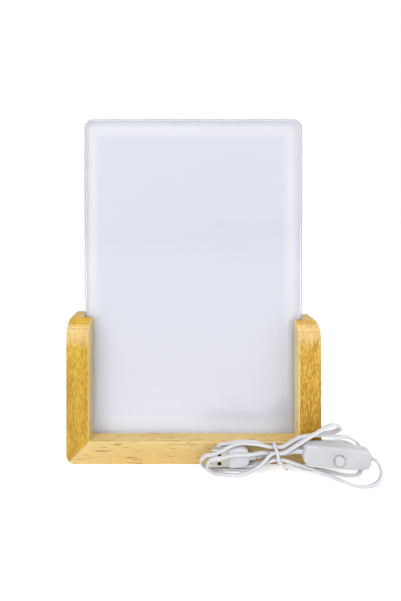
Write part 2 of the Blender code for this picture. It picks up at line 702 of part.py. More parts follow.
def spline(points):
    """Fine points on the smooth curve that runs through the route's points."""
    p = np.array([tuple(point) for point in points])
    spans = np.linalg.norm(np.diff(p, axis=0), axis=1)
    count = len(p)
    matrix = np.eye(count)
    right = np.zeros((count, 3))
    for i in range(1, count - 1):
        before, after = spans[i - 1], spans[i]
        matrix[i, i - 1:i + 2] = before, 2 * (before + after), after
        right[i] = 6 * ((p[i + 1] - p[i]) / after - (p[i] - p[i - 1]) / before)
    bend = np.linalg.solve(matrix, right)
    fine = []
    for i, span in enumerate(spans):
        steps = max(2, round(span / FINE_STEP))
        for step in range(steps):
            u = span * step / steps
            w = span - u
            cubic = (bend[i] * w ** 3 + bend[i + 1] * u ** 3) / (6 * span)
            from_here = (p[i] / span - bend[i] * span / 6) * w
            to_next = (p[i + 1] / span - bend[i + 1] * span / 6) * u
            fine.append(cubic + from_here + to_next)
    fine.append(p[-1])
    fine = np.array(fine)
    fine[:, 2] = np.maximum(fine[:, 2], CORD_RADIUS + FLOOR_GAP)
    return fine


def thinned(fine):
    """Fewer points on the same curve, closer together where it bends."""
    steps = np.diff(fine, axis=0)
    lengths = np.linalg.norm(steps, axis=1)
    ways = steps / lengths[:, None]
    turns = np.arccos(np.clip((ways[1:] * ways[:-1]).sum(axis=1), -1, 1))
    effort = lengths / POINT_SPACING
    effort[1:] += turns / POINT_TURN
    along = np.concatenate([[0], np.cumsum(effort)])
    count = math.ceil(along[-1])
    wanted = np.linspace(0, along[-1], count + 1)
    points = np.stack([np.interp(wanted, along, fine[:, k]) for k in range(3)], axis=1)
    points[1] = fine[0] + ways[0] * CORD_DIAMETER
    points[-2] = fine[-1] - ways[-1] * CORD_DIAMETER
    return points


def tube(name, points):
    curve = bpy.data.curves.new(name, "CURVE")
    curve.dimensions = "3D"
    curve.bevel_depth = CORD_RADIUS
    curve.bevel_resolution = 2
    curve.use_fill_caps = True
    line = curve.splines.new("POLY")
    line.points.add(len(points) - 1)
    for item, place in zip(line.points, points):
        item.co = (*place, 1)
    line.use_smooth = True
    curve.materials.append(CORD)
    made = bpy.data.objects.new(name, curve)
    bpy.context.scene.collection.objects.link(made)
    return made


# The lamp's cord goes round the right post, once through the hank and into the switch
EXIT = Vector((EXIT_X, TAIL_END + SEAT_GAP, EXIT_HEIGHT))
SWITCH_IN = SWITCH @ Vector((SWITCH_END - CORD_SOCKET + SEAT_GAP, 0, CORD_RISE))
SWITCH_OUT = SWITCH @ Vector((CORD_SOCKET - SEAT_GAP - SWITCH_END, 0, CORD_RISE))
SWITCH_RIGHT = SWITCH @ Vector((SWITCH_END, 0, CORD_RISE))
SWITCH_LEFT = SWITCH @ Vector((-SWITCH_END, 0, CORD_RISE))
PLUG_END = PLUG @ Vector((PLUG_TAIL_END + SEAT_GAP, 0, 0))
PLUG_OUT = PLUG @ Vector((PLUG_TAIL_END + SEAT_GAP + CORD_DIAMETER, 0, 0))
lamp_route = [EXIT, EXIT + Vector((0, CORD_DIAMETER, 0))]
lamp_route += mm(
    (64.8, 29, 4.4), (68.6, 33.4, 2.6), (75.0, 34.2, 1.7), (81.0, 30.4, 1.6), (85.8, 24.0, 1.6),
    (90.4, 17.2, 1.6), (96.0, 12.4, 1.6), (103.4, 10.6, 1.6), (111.2, 10.9, 1.6), (117.2, 9.0, 1.6),
    (121.0, 4.2, 1.6), (122.6, -2.0, 1.9), (122.2, -8.4, 4.1), (120.0, -13.8, 8.4), (116.6, -16.8, 13.6),
    (112.2, -18.6, 18.8), (106.6, -20.4, 23.0), (99.5, -22.1, 24.9), (92.5, -22.5, 25.6), (85, -22.5, 25.9),
    (78.5, -22.4, 25.8), (72, -22.1, 24.4), (65.8, -21.7, 20.8),
)
lamp_route += through("top_front", -1)
lamp_route += mm(
    (46, -20.8, 18.2), (38, -20.8, 19.1), (29.5, -21.3, 19.3), (22.5, -23.8, 18.3), (17, -25.0, 16.2),
)
lamp_route += left_fold(4.6, -19.6, 1.7, math.radians(24))
lamp_route += mm(
    (19, -20.2, 1.7), (29, -20.3, 1.7), (37.5, -20.9, 1.9), (42.5, -22.3, 4.1), (47.3, -23.7, 7.5),
)
lamp_route += through("low_front", 1, TIE_RUN * SHORT_SHARE)
lamp_route += mm(
    (66, -25.4, 9.4), (72, -25.6, 7.6), (78, -25.7, 5.7), (84, -26.0, 3.7), (90, -27.0, 2.2),
    (94.6, -29.4, 1.65), (99.4, -32.8, 1.65), (104.2, -35.3, 1.65), (109.2, -36.0, 1.65),
    (113.4, -35.5, 1.8), (117.0, -34.6, 2.5), (120.2, -33.3, 4.0), (122.3, -31.4, 6.4),
    (122.8, -29.4, 8.9), (121.9, -27.7, 11.1), (119.8, -26.5, 12.55),
)
lamp_route += [SWITCH_RIGHT, SWITCH_IN]

# The second cord leaves the switch, makes two loops of the hank and ends at the plug
hank_route = [SWITCH_OUT, SWITCH_LEFT]
hank_route += mm((69.2, -25.4, 16.8), (64.8, -23.0, 14.5))
hank_route += through("centre", -1)
hank_route += mm(
    (46.5, -22.9, 14.3), (41, -24.7, 14.8), (36, -25.6, 14.8), (29, -26.3, 15.0), (22, -27.5, 14.9),
)
hank_route += left_fold(8.4, -24.1, 1.7, math.radians(22))
hank_route += mm(
    (21.5, -25.1, 1.7), (29, -25.9, 1.9), (36, -26.6, 3.9), (41.5, -27.1, 7.1), (46.8, -26.9, 11.2),
)
hank_route += through("front", 1, TIE_RUN * SHORT_SHARE)
hank_route += mm((64.4, -25.9, 18.8), (70.5, -26.9, 23.5), (77.5, -27.2, 28.1), (85.3, -26.7, 32.4))
hank_route += half_turn(*mm((92.8, -25.5, 34.8), (92.8, -16.9, 24.6)), 1)
hank_route += mm((86.5, -16.9, 23.8), (80, -17.0, 22.4), (72, -17.1, 19.6), (65, -17.3, 16.7))
hank_route += through("top_back", -1)
hank_route += mm((46, -16.8, 17.0), (38, -16.1, 17.8), (30, -15.95, 17.4))
hank_route += left_fold(14.5, -15.95, 1.7, 0)
hank_route += mm((28, -16.0, 1.7), (35, -16.1, 1.8), (41, -16.9, 3.4), (46.3, -19.3, 5.3))
hank_route += through("low_back", 1, TIE_RUN * SHORT_SHARE)
hank_route += mm(
    (65, -20.9, 6.2), (72, -20.3, 3.3), (79, -19.8, 1.8), (86.5, -20.6, 1.7), (94, -23.2, 1.7),
    (100, -25.6, 1.7), (105.6, -26.4, 1.7), (110.6, -24.8, 1.7), (114.0, -21.6, 2.8), (115.6, -18.0, 5.6),
    (114.4, -15.2, 9.4), (110.6, -13.8, 12.6), (105.4, -13.6, 14.6), (99.4, -14.2, 15.4), (92.5, -15.95, 15.5),
    (84, -16.4, 14.8), (75, -16.7, 13.4), (66, -17.2, 11.6),
)
hank_route += through("back", -1)
hank_route += [PLUG_OUT, PLUG_END]

cords = {}
for name, route in (("lamp_lead", lamp_route), ("cord_hank", hank_route)):
    fine = spline(route)
    cords[name] = thinned(fine)
    tube(name, cords[name])
    run = np.linalg.norm(np.diff(fine, axis=0), axis=1).sum()
    print(name, "length in mm", round(run / MILLIMETRE, 1), "points", len(cords[name]))


def filled(points):
    """The tube's own points, with more between them, and how far along each one lies."""
    spans = points[1:] - points[:-1]
    parts = [points[:-1] + spans * step / FILL_STEPS for step in range(FILL_STEPS)]
    line = np.concatenate([np.stack(parts, axis=1).reshape(-1, 3), points[-1:]])
    return line, np.concatenate([[0], np.cumsum(np.linalg.norm(np.diff(line, axis=0), axis=1))])


def least_gap(one, other=None):
    """The smallest clear space between two cords, or between stretches of one that lie apart."""
    line, along = filled(one)
    second, far = (line, along) if other is None else filled(other)
    apart = np.linalg.norm(line[:, None] - second[None], axis=2)
    if other is None:
        apart[np.abs(along[:, None] - far[None]) < OWN_RUN] = np.inf
    return round((apart.min() - CORD_DIAMETER) / MILLIMETRE, 3)


print("least gap in mm: lamp_lead to itself", least_gap(cords["lamp_lead"]))
print("least gap in mm: cord_hank to itself", least_gap(cords["cord_hank"]))
print("least gap in mm: between the two", least_gap(cords["lamp_lead"], cords["cord_hank"]))

# The tie is a flat band round the strands, with its two ends twisted together
rings = []
inner = CORD_RADIUS + TIE_SLACK
outer = inner + TIE_THICKNESS
for name in SLOT_NAMES:
    y, z = slot(name)
    facing = math.atan2(z - TIE_PLACE[2], y - TIE_PLACE[1])
    for step in range(TIE_ARC_STEPS + 1):
        angle = facing + math.tau / len(SLOT_NAMES) * (step / TIE_ARC_STEPS - 1 / 2)
        ring = []
        for radius, side in ((inner, -1), (inner, 1), (outer, 1), (outer, -1)):
            height = z + radius * math.sin(angle)
            slant = (TIE_PLACE[2] - height) * TIE_SLANT_SHARE
            across = TIE_PLACE[0] + slant + side * TIE_WIDTH / 2
            ring.append((across, y + radius * math.cos(angle), height))
        rings.append(ring)
tie = finish(loft(rings, closed=True), "cord_tie", WHITE_PLASTIC)
rings = []
root = Vector(TIE_PLACE) + Vector(TWIST_START)
way = Vector(TWIST_WAY).normalized()
across = way.orthogonal().normalized()
for step in range(TWIST_STEPS + 1):
    share = step / TWIST_STEPS
    turn = Matrix.Rotation(TWIST_TURN * share, 3, way)
    one = turn @ across
    two = way.cross(one)
    centre = root + way * TIE_TAIL * share
    ring = []
    for k in range(TWIST_SIDES):
        angle = math.tau * k / TWIST_SIDES
        wide = one * math.cos(angle) * TIE_WIDTH / 2
        thick = two * math.sin(angle) * TIE_THICKNESS / 2
        ring.append(centre + wide + thick)
    rings.append(ring)
twist = finish(loft(rings), "tie_twist", WHITE_PLASTIC)
twist.hide_render = True
twist.display_type = "WIRE"
join = tie.modifiers.new("twisted_ends", "BOOLEAN")
join.operation = "UNION"
join.solver = "EXACT"
join.object = twist
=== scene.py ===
import math

import bmesh
import bpy
import numpy as np
from mathutils import Matrix, Vector


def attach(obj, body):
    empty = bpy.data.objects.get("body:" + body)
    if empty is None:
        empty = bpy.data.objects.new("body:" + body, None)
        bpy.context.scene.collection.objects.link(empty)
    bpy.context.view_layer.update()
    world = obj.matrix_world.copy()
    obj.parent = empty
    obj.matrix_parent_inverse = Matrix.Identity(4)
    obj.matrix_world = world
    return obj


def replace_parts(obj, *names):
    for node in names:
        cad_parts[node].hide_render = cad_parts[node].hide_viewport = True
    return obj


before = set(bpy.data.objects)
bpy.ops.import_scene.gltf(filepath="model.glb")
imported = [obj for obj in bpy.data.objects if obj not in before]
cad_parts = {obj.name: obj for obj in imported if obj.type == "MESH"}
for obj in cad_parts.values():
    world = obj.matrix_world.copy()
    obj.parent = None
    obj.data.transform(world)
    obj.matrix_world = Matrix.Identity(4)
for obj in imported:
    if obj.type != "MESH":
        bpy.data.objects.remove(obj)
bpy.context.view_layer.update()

# The frame's two posts and its rail are planed beech, mitred at the feet and
# glued over dowels. Their corners are rounded, their long edges are eased,
# and one groove runs down the posts and along the rail.
FRONT = -0.014
BACK = 0.014
OUTSIDE = 0.090
INSIDE = 0.074
LEFT_POST_TOP = 0.101
RIGHT_POST_TOP = 0.0987
RAIL_TOP = 0.016
TOP_ROUND = 0.012
FOOT_ROUND = 0.0065
JOINT_GAP = 0.0003
GLUE_LINE = 0.00004
EASED_EDGE = 0.0008
EASED_STEPS = 4
ARC_STEPS = 20
TOP_STEPS = 28
SHARP_ANGLE = math.radians(40)
GROOVE_LOW = (-0.0803, -0.0035, 0.008)
GROOVE_HIGH = (0.0803, 0.0026, 0.103)
CHANNEL_LOW = (-0.0673, -0.00325, 0.0038)
CHANNEL_HIGH = (0.0673, 0.00235, 0.010)
EXIT_X = 0.064
EXIT_HEIGHT = 0.0059
BORE_RADIUS = 0.0020
BORE_END = 0.02
DEPTHWISE = (0, 1, 0)
WELD = 0.000002


class Signal:
    """One socket of a node tree. Arithmetic on it adds Math nodes to the tree."""

    def __init__(self, bench, socket):
        self.bench = bench
        self.socket = socket

    def maths(self, operation, *terms):
        return self.bench.node("ShaderNodeMath", {"operation": operation}, dict(enumerate(terms)))

    def __add__(self, other):
        return self.maths("ADD", self, other)

    def __radd__(self, other):
        return self.maths("ADD", other, self)

    def __sub__(self, other):
        return self.maths("SUBTRACT", self, other)

    def __rsub__(self, other):
        return self.maths("SUBTRACT", other, self)

    def __mul__(self, other):
        return self.maths("MULTIPLY", self, other)

    def __abs__(self):
        return self.maths("ABSOLUTE", self)


class Bench:
    """A node tree under work. node() adds a node: its type, its settings, then its sockets."""

    def __init__(self, tree):
        self.tree = tree

    def node(self, kind, settings=None, sockets=None, out=0):
        made = self.tree.nodes.new(kind)
        for name, value in (settings or {}).items():
            setattr(made, name, value)
        for name, value in (sockets or {}).items():
            if isinstance(value, Signal):
                self.tree.links.new(value.socket, made.inputs[name])
            else:
                made.inputs[name].default_value = value
        return Signal(self, made.outputs[out])


def linear(red, green, blue):
    """The scene-linear colour of three display values from 0 to 255."""
    tones = [value / 255 for value in (red, green, blue)]
    return [t / 12.92 if t <= 0.04045 else ((t + 0.055) / 1.055) ** 2.4 for t in tones] + [1]


class Look(Bench):
    """A material on a Principled shader, with the usual patterns in object space."""

    def __init__(self, name, colour=None, **values):
        self.material = bpy.data.materials.new(name)
        self.material.use_nodes = True
        super().__init__(self.material.node_tree)
        self.shader = self.tree.nodes["Principled BSDF"]
        if colour is not None:
            self.shader.inputs["Base Color"].default_value = linear(*colour)
        for socket, value in values.items():
            self.shader.inputs[socket.replace("_", " ")].default_value = value

    def give(self, socket, signal):
        self.tree.links.new(signal.socket, self.shader.inputs[socket])

    def places(self, centre=(0, 0, 0), stretch=(1, 1, 1)):
        where = self.node("ShaderNodeTexCoord", out="Object")
        sockets = {"Vector": where, "Location": centre, "Scale": stretch}
        return self.node("ShaderNodeMapping", None, sockets)

    def axis(self, name):
        """The distance from the origin along X, Y or Z."""
        where = self.node("ShaderNodeTexCoord", out="Object")
        return self.node("ShaderNodeSeparateXYZ", None, {"Vector": where}, out=name)

    def noise(self, places, scale, detail=2.0, roughness=0.5, distortion=0.0):
        sockets = {"Vector": places, "Scale": scale, "Detail": detail, "Roughness": roughness}
        return self.node("ShaderNodeTexNoise", None, {**sockets, "Distortion": distortion})

    def between(self, signal, low, high, lowest=0.0, highest=1.0):
        """A soft step from the lowest to the highest value, as the signal goes from low to high."""
        ends = {"From Min": low, "From Max": high, "To Min": lowest, "To Max": highest}
        soft = {"interpolation_type": "SMOOTHSTEP"}
        return self.node("ShaderNodeMapRange", soft, {"Value": signal, **ends})

    def blended(self, share, one, other):
        sockets = {0: share, 6: one, 7: other}
        return self.node("ShaderNodeMix", {"data_type": "RGBA"}, sockets, out=2)

    def bump(self, height, strength, distance):
        sockets = {"Height": height, "Strength": strength, "Distance": distance}
        self.give("Normal", self.node("ShaderNodeBump", None, sockets))


GRAIN_STRETCH = {"X": (0.16, 1, 1), "Z": (1, 1, 0.22)}
FLECK_STRETCH = {"X": (0.09, 1, 1), "Z": (1, 1, 0.16)}
PATCH_SCALE = 90
PORE_SCALE = 3600
PORE_DEPTH = 0.00008
SWAY_SCALE = 40
SWAY_STRETCH = (0.5, 0.5, 0.5)
LINE_PITCH = 2650
LINE_SWAY = 2
LINE_START = 20.7
FOOT_SPAN = (0.055, 0.095)
# Where the painted highlight over the posts' rounded tops lies, and its colour.
CROWN_RISE = (0.080, 0.091)
CROWN_END = (0.0955, 0.0985)
CROWN_HIGHLIGHT_TONE = (240, 214, 164)
# Where the painted sheen on the posts' inner faces lies, and its colour.
PAINTED_SHEEN_SPAN = (INSIDE + 0.0003, INSIDE + 0.0009)
PAINTED_SHEEN_TONE = (252, 224, 150)
LACQUER = 0.35


def beech(name, tones, grain, centre, marks):
    """Lacquered beech: streaks along the grain, cloudy patches, short flecks and growth lines, with
    a painted sheen on the inner faces and a painted highlight on the rounded tops.
    """
    look = Look(name, IOR=1.48)
    face, deep, fleck = (linear(*tone) for tone in tones)
    height = look.axis("Z")
    along = look.places(centre, GRAIN_STRETCH[grain])
    streaks = look.between(look.noise(along, marks["streak_scale"], 2.0, 0.6, 0.4), 0.38, 0.62)
    patches = look.between(look.noise(along, PATCH_SCALE, 2.0), 0.35, 0.68)
    mellow = look.between(height, *FOOT_SPAN, marks["foot"], 0.0)
    share = streaks * marks["streaks"] + patches * (1 - marks["streaks"]) * 0.8 + mellow
    tone = look.blended(share, face, deep)
    drawn_out = look.places(centre, FLECK_STRETCH[grain])
    flecks = look.between(look.noise(drawn_out, marks["fleck_scale"], 1.0, 0.5, 0.2), 0.61, 0.70)
    pores = look.between(look.noise(along, PORE_SCALE, 1.0), 0.60, 0.72)
    sway = look.noise(look.places(centre, SWAY_STRETCH), SWAY_SCALE, 1.0)
    phase = look.axis("Y") * LINE_PITCH + sway * LINE_SWAY + LINE_START
    lines = look.between(look.node("ShaderNodeMath", {"operation": "SINE"}, {0: phase}), 0.70, 1.0)
    # Painted sheen: the inner faces, and the strip of front face beside them, are paler, standing
    # in for the surround's light and reflection there.
    painted_inner_sheen = look.between(abs(look.axis("X")), *PAINTED_SHEEN_SPAN, marks["painted_inner_sheen"], 0.0)
    tone = look.blended(painted_inner_sheen, tone, linear(*PAINTED_SHEEN_TONE))
    # Painted highlight: a paler band over the rounded tops, standing in for the light that the
    # curve catches.
    painted_crown_highlight = look.between(height, *CROWN_RISE) * look.between(height, *CROWN_END, 1.0, 0.0)
    tone = look.blended(painted_crown_highlight * marks["painted_crown_highlight"], tone, linear(*CROWN_HIGHLIGHT_TONE))
    for kind, mark in (("lines", lines), ("pores", pores), ("flecks", flecks)):
        tone = look.blended(mark * marks[kind], tone, fleck)
    look.give("Base Color", tone)
    look.give("Roughness", 0.44 + patches * 0.08 + flecks * 0.15)
    look.shader.inputs["Coat Weight"].default_value = LACQUER
    look.shader.inputs["Coat Roughness"].default_value = LACQUER
    look.bump(1 - flecks * 0.6 - pores * 0.5, 0.25, PORE_DEPTH)
    return look.material


POST_MARKS = {
    "streaks": 0.70, "streak_scale": 1350, "flecks": 0.72, "fleck_scale": 1650,
    "pores": 0.25, "lines": 0.35, "painted_inner_sheen": 0.68, "foot": 0.16, "painted_crown_highlight": 0.45,
}
LEFT_MARKS = {**POST_MARKS, "streaks": 0.50, "flecks": 0.45}
# The right post carries the strongest painted sheen on its inner face.
RIGHT_MARKS = {**POST_MARKS, "painted_inner_sheen": 1.0, "lines": 0.20}
RAIL_MARKS = {
    "streaks": 0.45, "streak_scale": 1000, "flecks": 0.66, "fleck_scale": 950,
    "pores": 0.12, "lines": 0.20, "painted_inner_sheen": 0.0, "foot": 0.0, "painted_crown_highlight": 0.0,
}
LEFT_TONES = ((226, 184, 46), (170, 120, 0), (132, 88, 0))
RIGHT_TONES = ((235, 192, 64), (178, 125, 0), (134, 88, 0))
RAIL_TONES = ((228, 200, 134), (216, 180, 100), (168, 120, 48))
LEFT_BEECH = beech("beech_left", LEFT_TONES, "Z", (0.31, 0.11, 0.2), LEFT_MARKS)
RIGHT_BEECH = beech("beech_right", RIGHT_TONES, "Z", (0.73, 0.43, 0.5), RIGHT_MARKS)
RAIL_BEECH = beech("beech_rail", RAIL_TONES, "X", (0.12, 0.67, 0.9), RAIL_MARKS)


def linked(name, mesh):
    piece = bpy.data.objects.new(name, mesh)
    bpy.context.scene.collection.objects.link(piece)
    return piece


def evaluated(piece):
    """Takes up the piece's modifiers, so that a plain mesh is left."""
    bpy.context.view_layer.update()
    depsgraph = bpy.context.evaluated_depsgraph_get()
    mesh = bpy.data.meshes.new_from_object(piece.evaluated_get(depsgraph))
    piece.modifiers.clear()
    piece.data = mesh
    return piece


def raw(name, bm):
    bmesh.ops.remove_doubles(bm, verts=bm.verts, dist=WELD)
    bmesh.ops.recalc_face_normals(bm, faces=bm.faces)
    mesh = bpy.data.meshes.new(name)
    bm.to_mesh(mesh)
    bm.free()
    return linked(name, mesh)


def solid(name, bm, look, cutters=(), crease=32):
    """A named piece from a mesh, less its cutters, smooth but for its creases."""
    piece = raw(name, bm)
    tools = [raw(name + "_cutter", cutter) for cutter in cutters]
    for tool in tools:
        knife = piece.modifiers.new("cut", "BOOLEAN")
        knife.operation = "DIFFERENCE"
        knife.solver = "EXACT"
        knife.object = tool
    evaluated(piece)
    for tool in tools:
        bpy.data.objects.remove(tool)
    piece.data.materials.clear()
    piece.data.materials.append(look)
    piece.data.shade_smooth()
    piece.data.set_sharp_from_angle(angle=math.radians(crease))
    even = piece.modifiers.new("even", "WEIGHTED_NORMAL")
    even.keep_sharp = True
    return evaluated(piece)


def arc(centre, radius, start, end, steps=ARC_STEPS):
    x, y = centre
    turns = [start + (end - start) * step / steps for step in range(steps + 1)]
    return [(x + radius * math.cos(turn), y + radius * math.sin(turn)) for turn in turns]


def slab(outline, front, back):
    """A mesh of an (x, z) outline between two values of y."""
    bm = bmesh.new()
    face = bm.faces.new([bm.verts.new((x, front, z)) for x, z in outline])
    swept = bmesh.ops.extrude_face_region(bm, geom=[face])["geom"]
    moved = [item for item in swept if isinstance(item, bmesh.types.BMVert)]
    bmesh.ops.translate(bm, verts=moved, vec=(0, back - front, 0))
    bmesh.ops.recalc_face_normals(bm, faces=bm.faces)
    return bm


def block(low, high):
    outline = [(low[0], low[2]), (high[0], low[2]), (high[0], high[2]), (low[0], high[2])]
    return slab(outline, low[1], high[1])


def rounded(bm, edges, width, steps):
    bmesh.ops.bevel(bm, geom=edges, offset=width, segments=steps, affect="EDGES", profile=0.5)
    return bm


def eased(bm, kept, width=EASED_EDGE, steps=EASED_STEPS):
    """Rounds a mesh's sharp edges, apart from those that are kept as they are."""
    edges = []
    for edge in bm.edges:
        one, two = (vert.co for vert in edge.verts)
        if edge.calc_face_angle(0) > SHARP_ANGLE and not kept((one + two) / 2):
            edges.append(edge)
    return rounded(bm, edges, width, steps)


def glued(point):
    """Whether an edge lies in a mitre joint."""
    return abs(abs(point.x) - INSIDE + point.z - RAIL_TOP) < JOINT_GAP


def loft(rings, closed=False):
    """A mesh through rings of equal length, with a face at each end or closed into a loop."""
    bm = bmesh.new()
    rows = [[bm.verts.new(point) for point in ring] for ring in rings]
    for low, high in zip(rows, rows[1:] + rows[:1] if closed else rows[1:]):
        for k in range(len(low)):
            nearby = (k + 1) % len(low)
            bm.faces.new([low[k], low[nearby], high[nearby], high[k]])
    if not closed:
        bm.faces.new(rows[0][::-1])
        bm.faces.new(rows[-1])
    return bm


def ring_of(profile, place, axis, steps=64):
    """A mesh of the (radius, along) profile turned about the axis through the place."""
    out = Vector(axis).normalized()
    side = out.orthogonal().normalized()
    up = out.cross(side)
    turns = [math.tau * k / steps for k in range(steps)]
    ways = [side * math.cos(turn) + up * math.sin(turn) for turn in turns]
    rings = []
    for radius, along in profile:
        middle = Vector(place) + out * along
        rings.append([middle + way * radius for way in ways])
    return loft(rings)


FOOT_CENTRE = (OUTSIDE - FOOT_ROUND, FOOT_ROUND)
FOOT_TRIM = math.asin(GLUE_LINE / 2 / FOOT_ROUND)
JOINT_SHIFT = GLUE_LINE / math.sqrt(2)


def front_top(bm, top):
    """The edge between the front and the top of a post, which is rounded over."""
    found = []
    for edge in bm.edges:
        if all(vert.co.y < 0 and vert.co.z > top - WELD for vert in edge.verts):
            found.append(edge)
    return found


for side, node, look, top in (
    (-1, "left_post", LEFT_BEECH, LEFT_POST_TOP),
    (1, "right_post", RIGHT_BEECH, RIGHT_POST_TOP),
):
    post_outline = [(INSIDE, RAIL_TOP + JOINT_SHIFT)]
    post_outline += arc(FOOT_CENTRE, FOOT_ROUND, FOOT_TRIM - math.pi / 4, 0)
    post_outline += [(OUTSIDE, top), (INSIDE, top)]
    body = slab([(side * x, z) for x, z in post_outline], FRONT, BACK)
    rounded(body, front_top(body, top), TOP_ROUND, TOP_STEPS)
    post = solid("beech_" + node, eased(body, glued), look, [block(GROOVE_LOW, GROOVE_HIGH)])
    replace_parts(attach(post, "lamp"), node)

half_rail = arc(FOOT_CENTRE, FOOT_ROUND, -math.pi / 2, -math.pi / 4 - FOOT_TRIM)
half_rail.append((INSIDE, RAIL_TOP - JOINT_SHIFT))
rail_outline = half_rail + [(-x, z) for x, z in half_rail[::-1]]
bore = ring_of([(BORE_RADIUS, 0), (BORE_RADIUS, BORE_END)], (EXIT_X, 0, EXIT_HEIGHT), DEPTHWISE)
cutters = [block(GROOVE_LOW, GROOVE_HIGH), block(CHANNEL_LOW, CHANNEL_HIGH), bore]
body = eased(slab(rail_outline, FRONT, BACK), glued)
rail = solid("beech_bottom_rail", body, RAIL_BEECH, cutters)
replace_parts(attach(rail, "lamp"), "bottom_rail")

# Two turned beech dowels pin each mitre. They are plain wood, glued in dry,
# and nothing of them shows while the frame is whole.
DOWEL_TONES = ((222, 190, 138), (206, 168, 110), (158, 116, 70))
DOWEL_BEECH = beech("beech_dowel", DOWEL_TONES, "Z", (0.05, 0.3, 0.6), RAIL_MARKS)


def dressed(look, *nodes):
    """Gives CAD nodes a material in place of their plain one."""
    for node in nodes:
        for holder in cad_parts[node].material_slots:
            holder.material = look


dressed(DOWEL_BEECH, "left_front_dowel", "left_rear_dowel", "right_front_dowel", "right_rear_dowel")

# The light strip is a narrow white board with nine LEDs along it, each a pale
# case with a yellow window and two soldered feet. It lies in the channel
# under the plate's lower edge and shines up into the acrylic.
LED_COUNT = 9
LED_PITCH = 0.015
LED_BASE = 0.0054
LED_SIZE = {"Length": 0.0035, "Width": 0.0028, "Height": 0.0009}
LED_CASE = 0.86
LED_WINDOW = {"radius": 0.40, "depth": 0.12, "middle": 1.03}
LED_FOOT = {"length": 0.13, "width": 0.72, "height": 0.34, "reach": 0.44}
STRIP_MIDDLE = -0.00045


class Grower(Bench):
    """A geometry tree with named inputs, which grows a plain mesh for a piece."""

    def __init__(self, name, **sizes):
        super().__init__(bpy.data.node_groups.new(name, "GeometryNodeTree"))
        interface = self.tree.interface
        self.keys = {}
        for label, size in sizes.items():
            kind = "NodeSocketInt" if isinstance(size, int) else "NodeSocketFloat"
            socket = interface.new_socket(name=label, in_out="INPUT", socket_type=kind)
            self.keys[socket.identifier] = size
        interface.new_socket(name="Geometry", in_out="OUTPUT", socket_type="NodeSocketGeometry")
        entry = self.tree.nodes.new("NodeGroupInput")
        self.size = {label: Signal(self, entry.outputs[label]) for label in sizes}

    def moved(self, shape, place):
        return self.node("GeometryNodeTransform", None, {"Geometry": shape, "Translation": place})

    def coated(self, shape, look):
        return self.node("GeometryNodeSetMaterial", None, {"Geometry": shape, "Material": look})

    def joined(self, *shapes):
        made = self.tree.nodes.new("GeometryNodeJoinGeometry")
        for shape in shapes:
            self.tree.links.new(shape.socket, made.inputs[0])
        return Signal(self, made.outputs[0])

    def vector(self, x=0.0, y=0.0, z=0.0):
        return self.node("ShaderNodeCombineXYZ", None, {"X": x, "Y": y, "Z": z})

    def box(self, x, y, z):
        return self.node("GeometryNodeMeshCube", None, {"Size": self.vector(x, y, z)})

    def half_run(self):
        """Where a row starts that is centred on nought."""
        return (self.size["Count"] - 1) * self.size["Pitch"] * -0.5

    def in_row(self, shape, start, step):
        """Repeats the shape from the start, one step after the other."""
        places = {"Count": self.size["Count"], "Start Location": start, "Offset": step}
        points = self.node("GeometryNodeMeshLine", None, places)
        sockets = {"Points": points, "Instance": shape}
        return self.node("GeometryNodeInstanceOnPoints", None, sockets)

    def grow(self, name, shape):
        """Ends the tree in real geometry and turns it into a named mesh piece."""
        real = self.node("GeometryNodeRealizeInstances", None, {"Geometry": shape})
        out = self.tree.nodes.new("NodeGroupOutput")
        self.tree.links.new(real.socket, out.inputs["Geometry"])
        piece = linked(name, bpy.data.meshes.new(name))
        grower = piece.modifiers.new("grower", "NODES")
        grower.node_group = self.tree
        for key, size in self.keys.items():
            grower[key] = size
        return evaluated(piece)


BOARD_LOOK = Look("solder_mask_white", (238, 239, 236), Roughness=0.38)
BOARD_LOOK.bump(BOARD_LOOK.noise(BOARD_LOOK.places(), 2500, 2.0), 0.15, 0.00003)
dressed(BOARD_LOOK.material, "led_board")
LED_BODY = Look("led_ceramic", (236, 235, 228), Roughness=0.45)
LED_BODY.bump(LED_BODY.noise(LED_BODY.places(), 5000), 0.1, 0.00002)
PHOSPHOR = Look("led_phosphor", Roughness=0.22, Coat_Weight=0.5)
grains = PHOSPHOR.between(PHOSPHOR.noise(PHOSPHOR.places(), 9000, 1.0), 0.35, 0.65)
PHOSPHOR.give("Base Color", PHOSPHOR.blended(grains, linear(250, 222, 96), linear(238, 200, 66)))
SOLDER = Look("solder_tin", (196, 198, 202), Metallic=1.0, Roughness=0.28)
SOLDER.bump(SOLDER.noise(SOLDER.places(), 4000), 0.2, 0.00003)

row = Grower("led_row", Count=LED_COUNT, Pitch=LED_PITCH, **LED_SIZE)
long, wide, high = (row.size[label] for label in ("Length", "Width", "Height"))
case = row.moved(row.box(long * LED_CASE, wide, high), row.vector(z=high * 0.5))
disc = {"Vertices": 32, "Radius": wide * LED_WINDOW["radius"], "Depth": high * LED_WINDOW["depth"]}
window = row.node("GeometryNodeMeshCylinder", None, disc)
window = row.moved(window, row.vector(z=high * LED_WINDOW["middle"]))
parts = [row.coated(case, LED_BODY.material), row.coated(window, PHOSPHOR.material)]
for side in (-1, 1):
    foot = row.box(long * LED_FOOT["length"], wide * LED_FOOT["width"], high * LED_FOOT["height"])
    aside = row.vector(x=long * LED_FOOT["reach"] * side, z=high * (LED_FOOT["height"] / 2))
    parts.append(row.coated(row.moved(foot, aside), SOLDER.material))
first = row.vector(x=row.half_run(), y=STRIP_MIDDLE, z=LED_BASE)
leds = row.grow("led_row", row.in_row(row.joined(*parts), first, row.vector(x=row.size["Pitch"])))
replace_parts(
    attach(leds, "lamp"),
    *["led_%02d" % (n + 1) for n in range(LED_COUNT)],
)

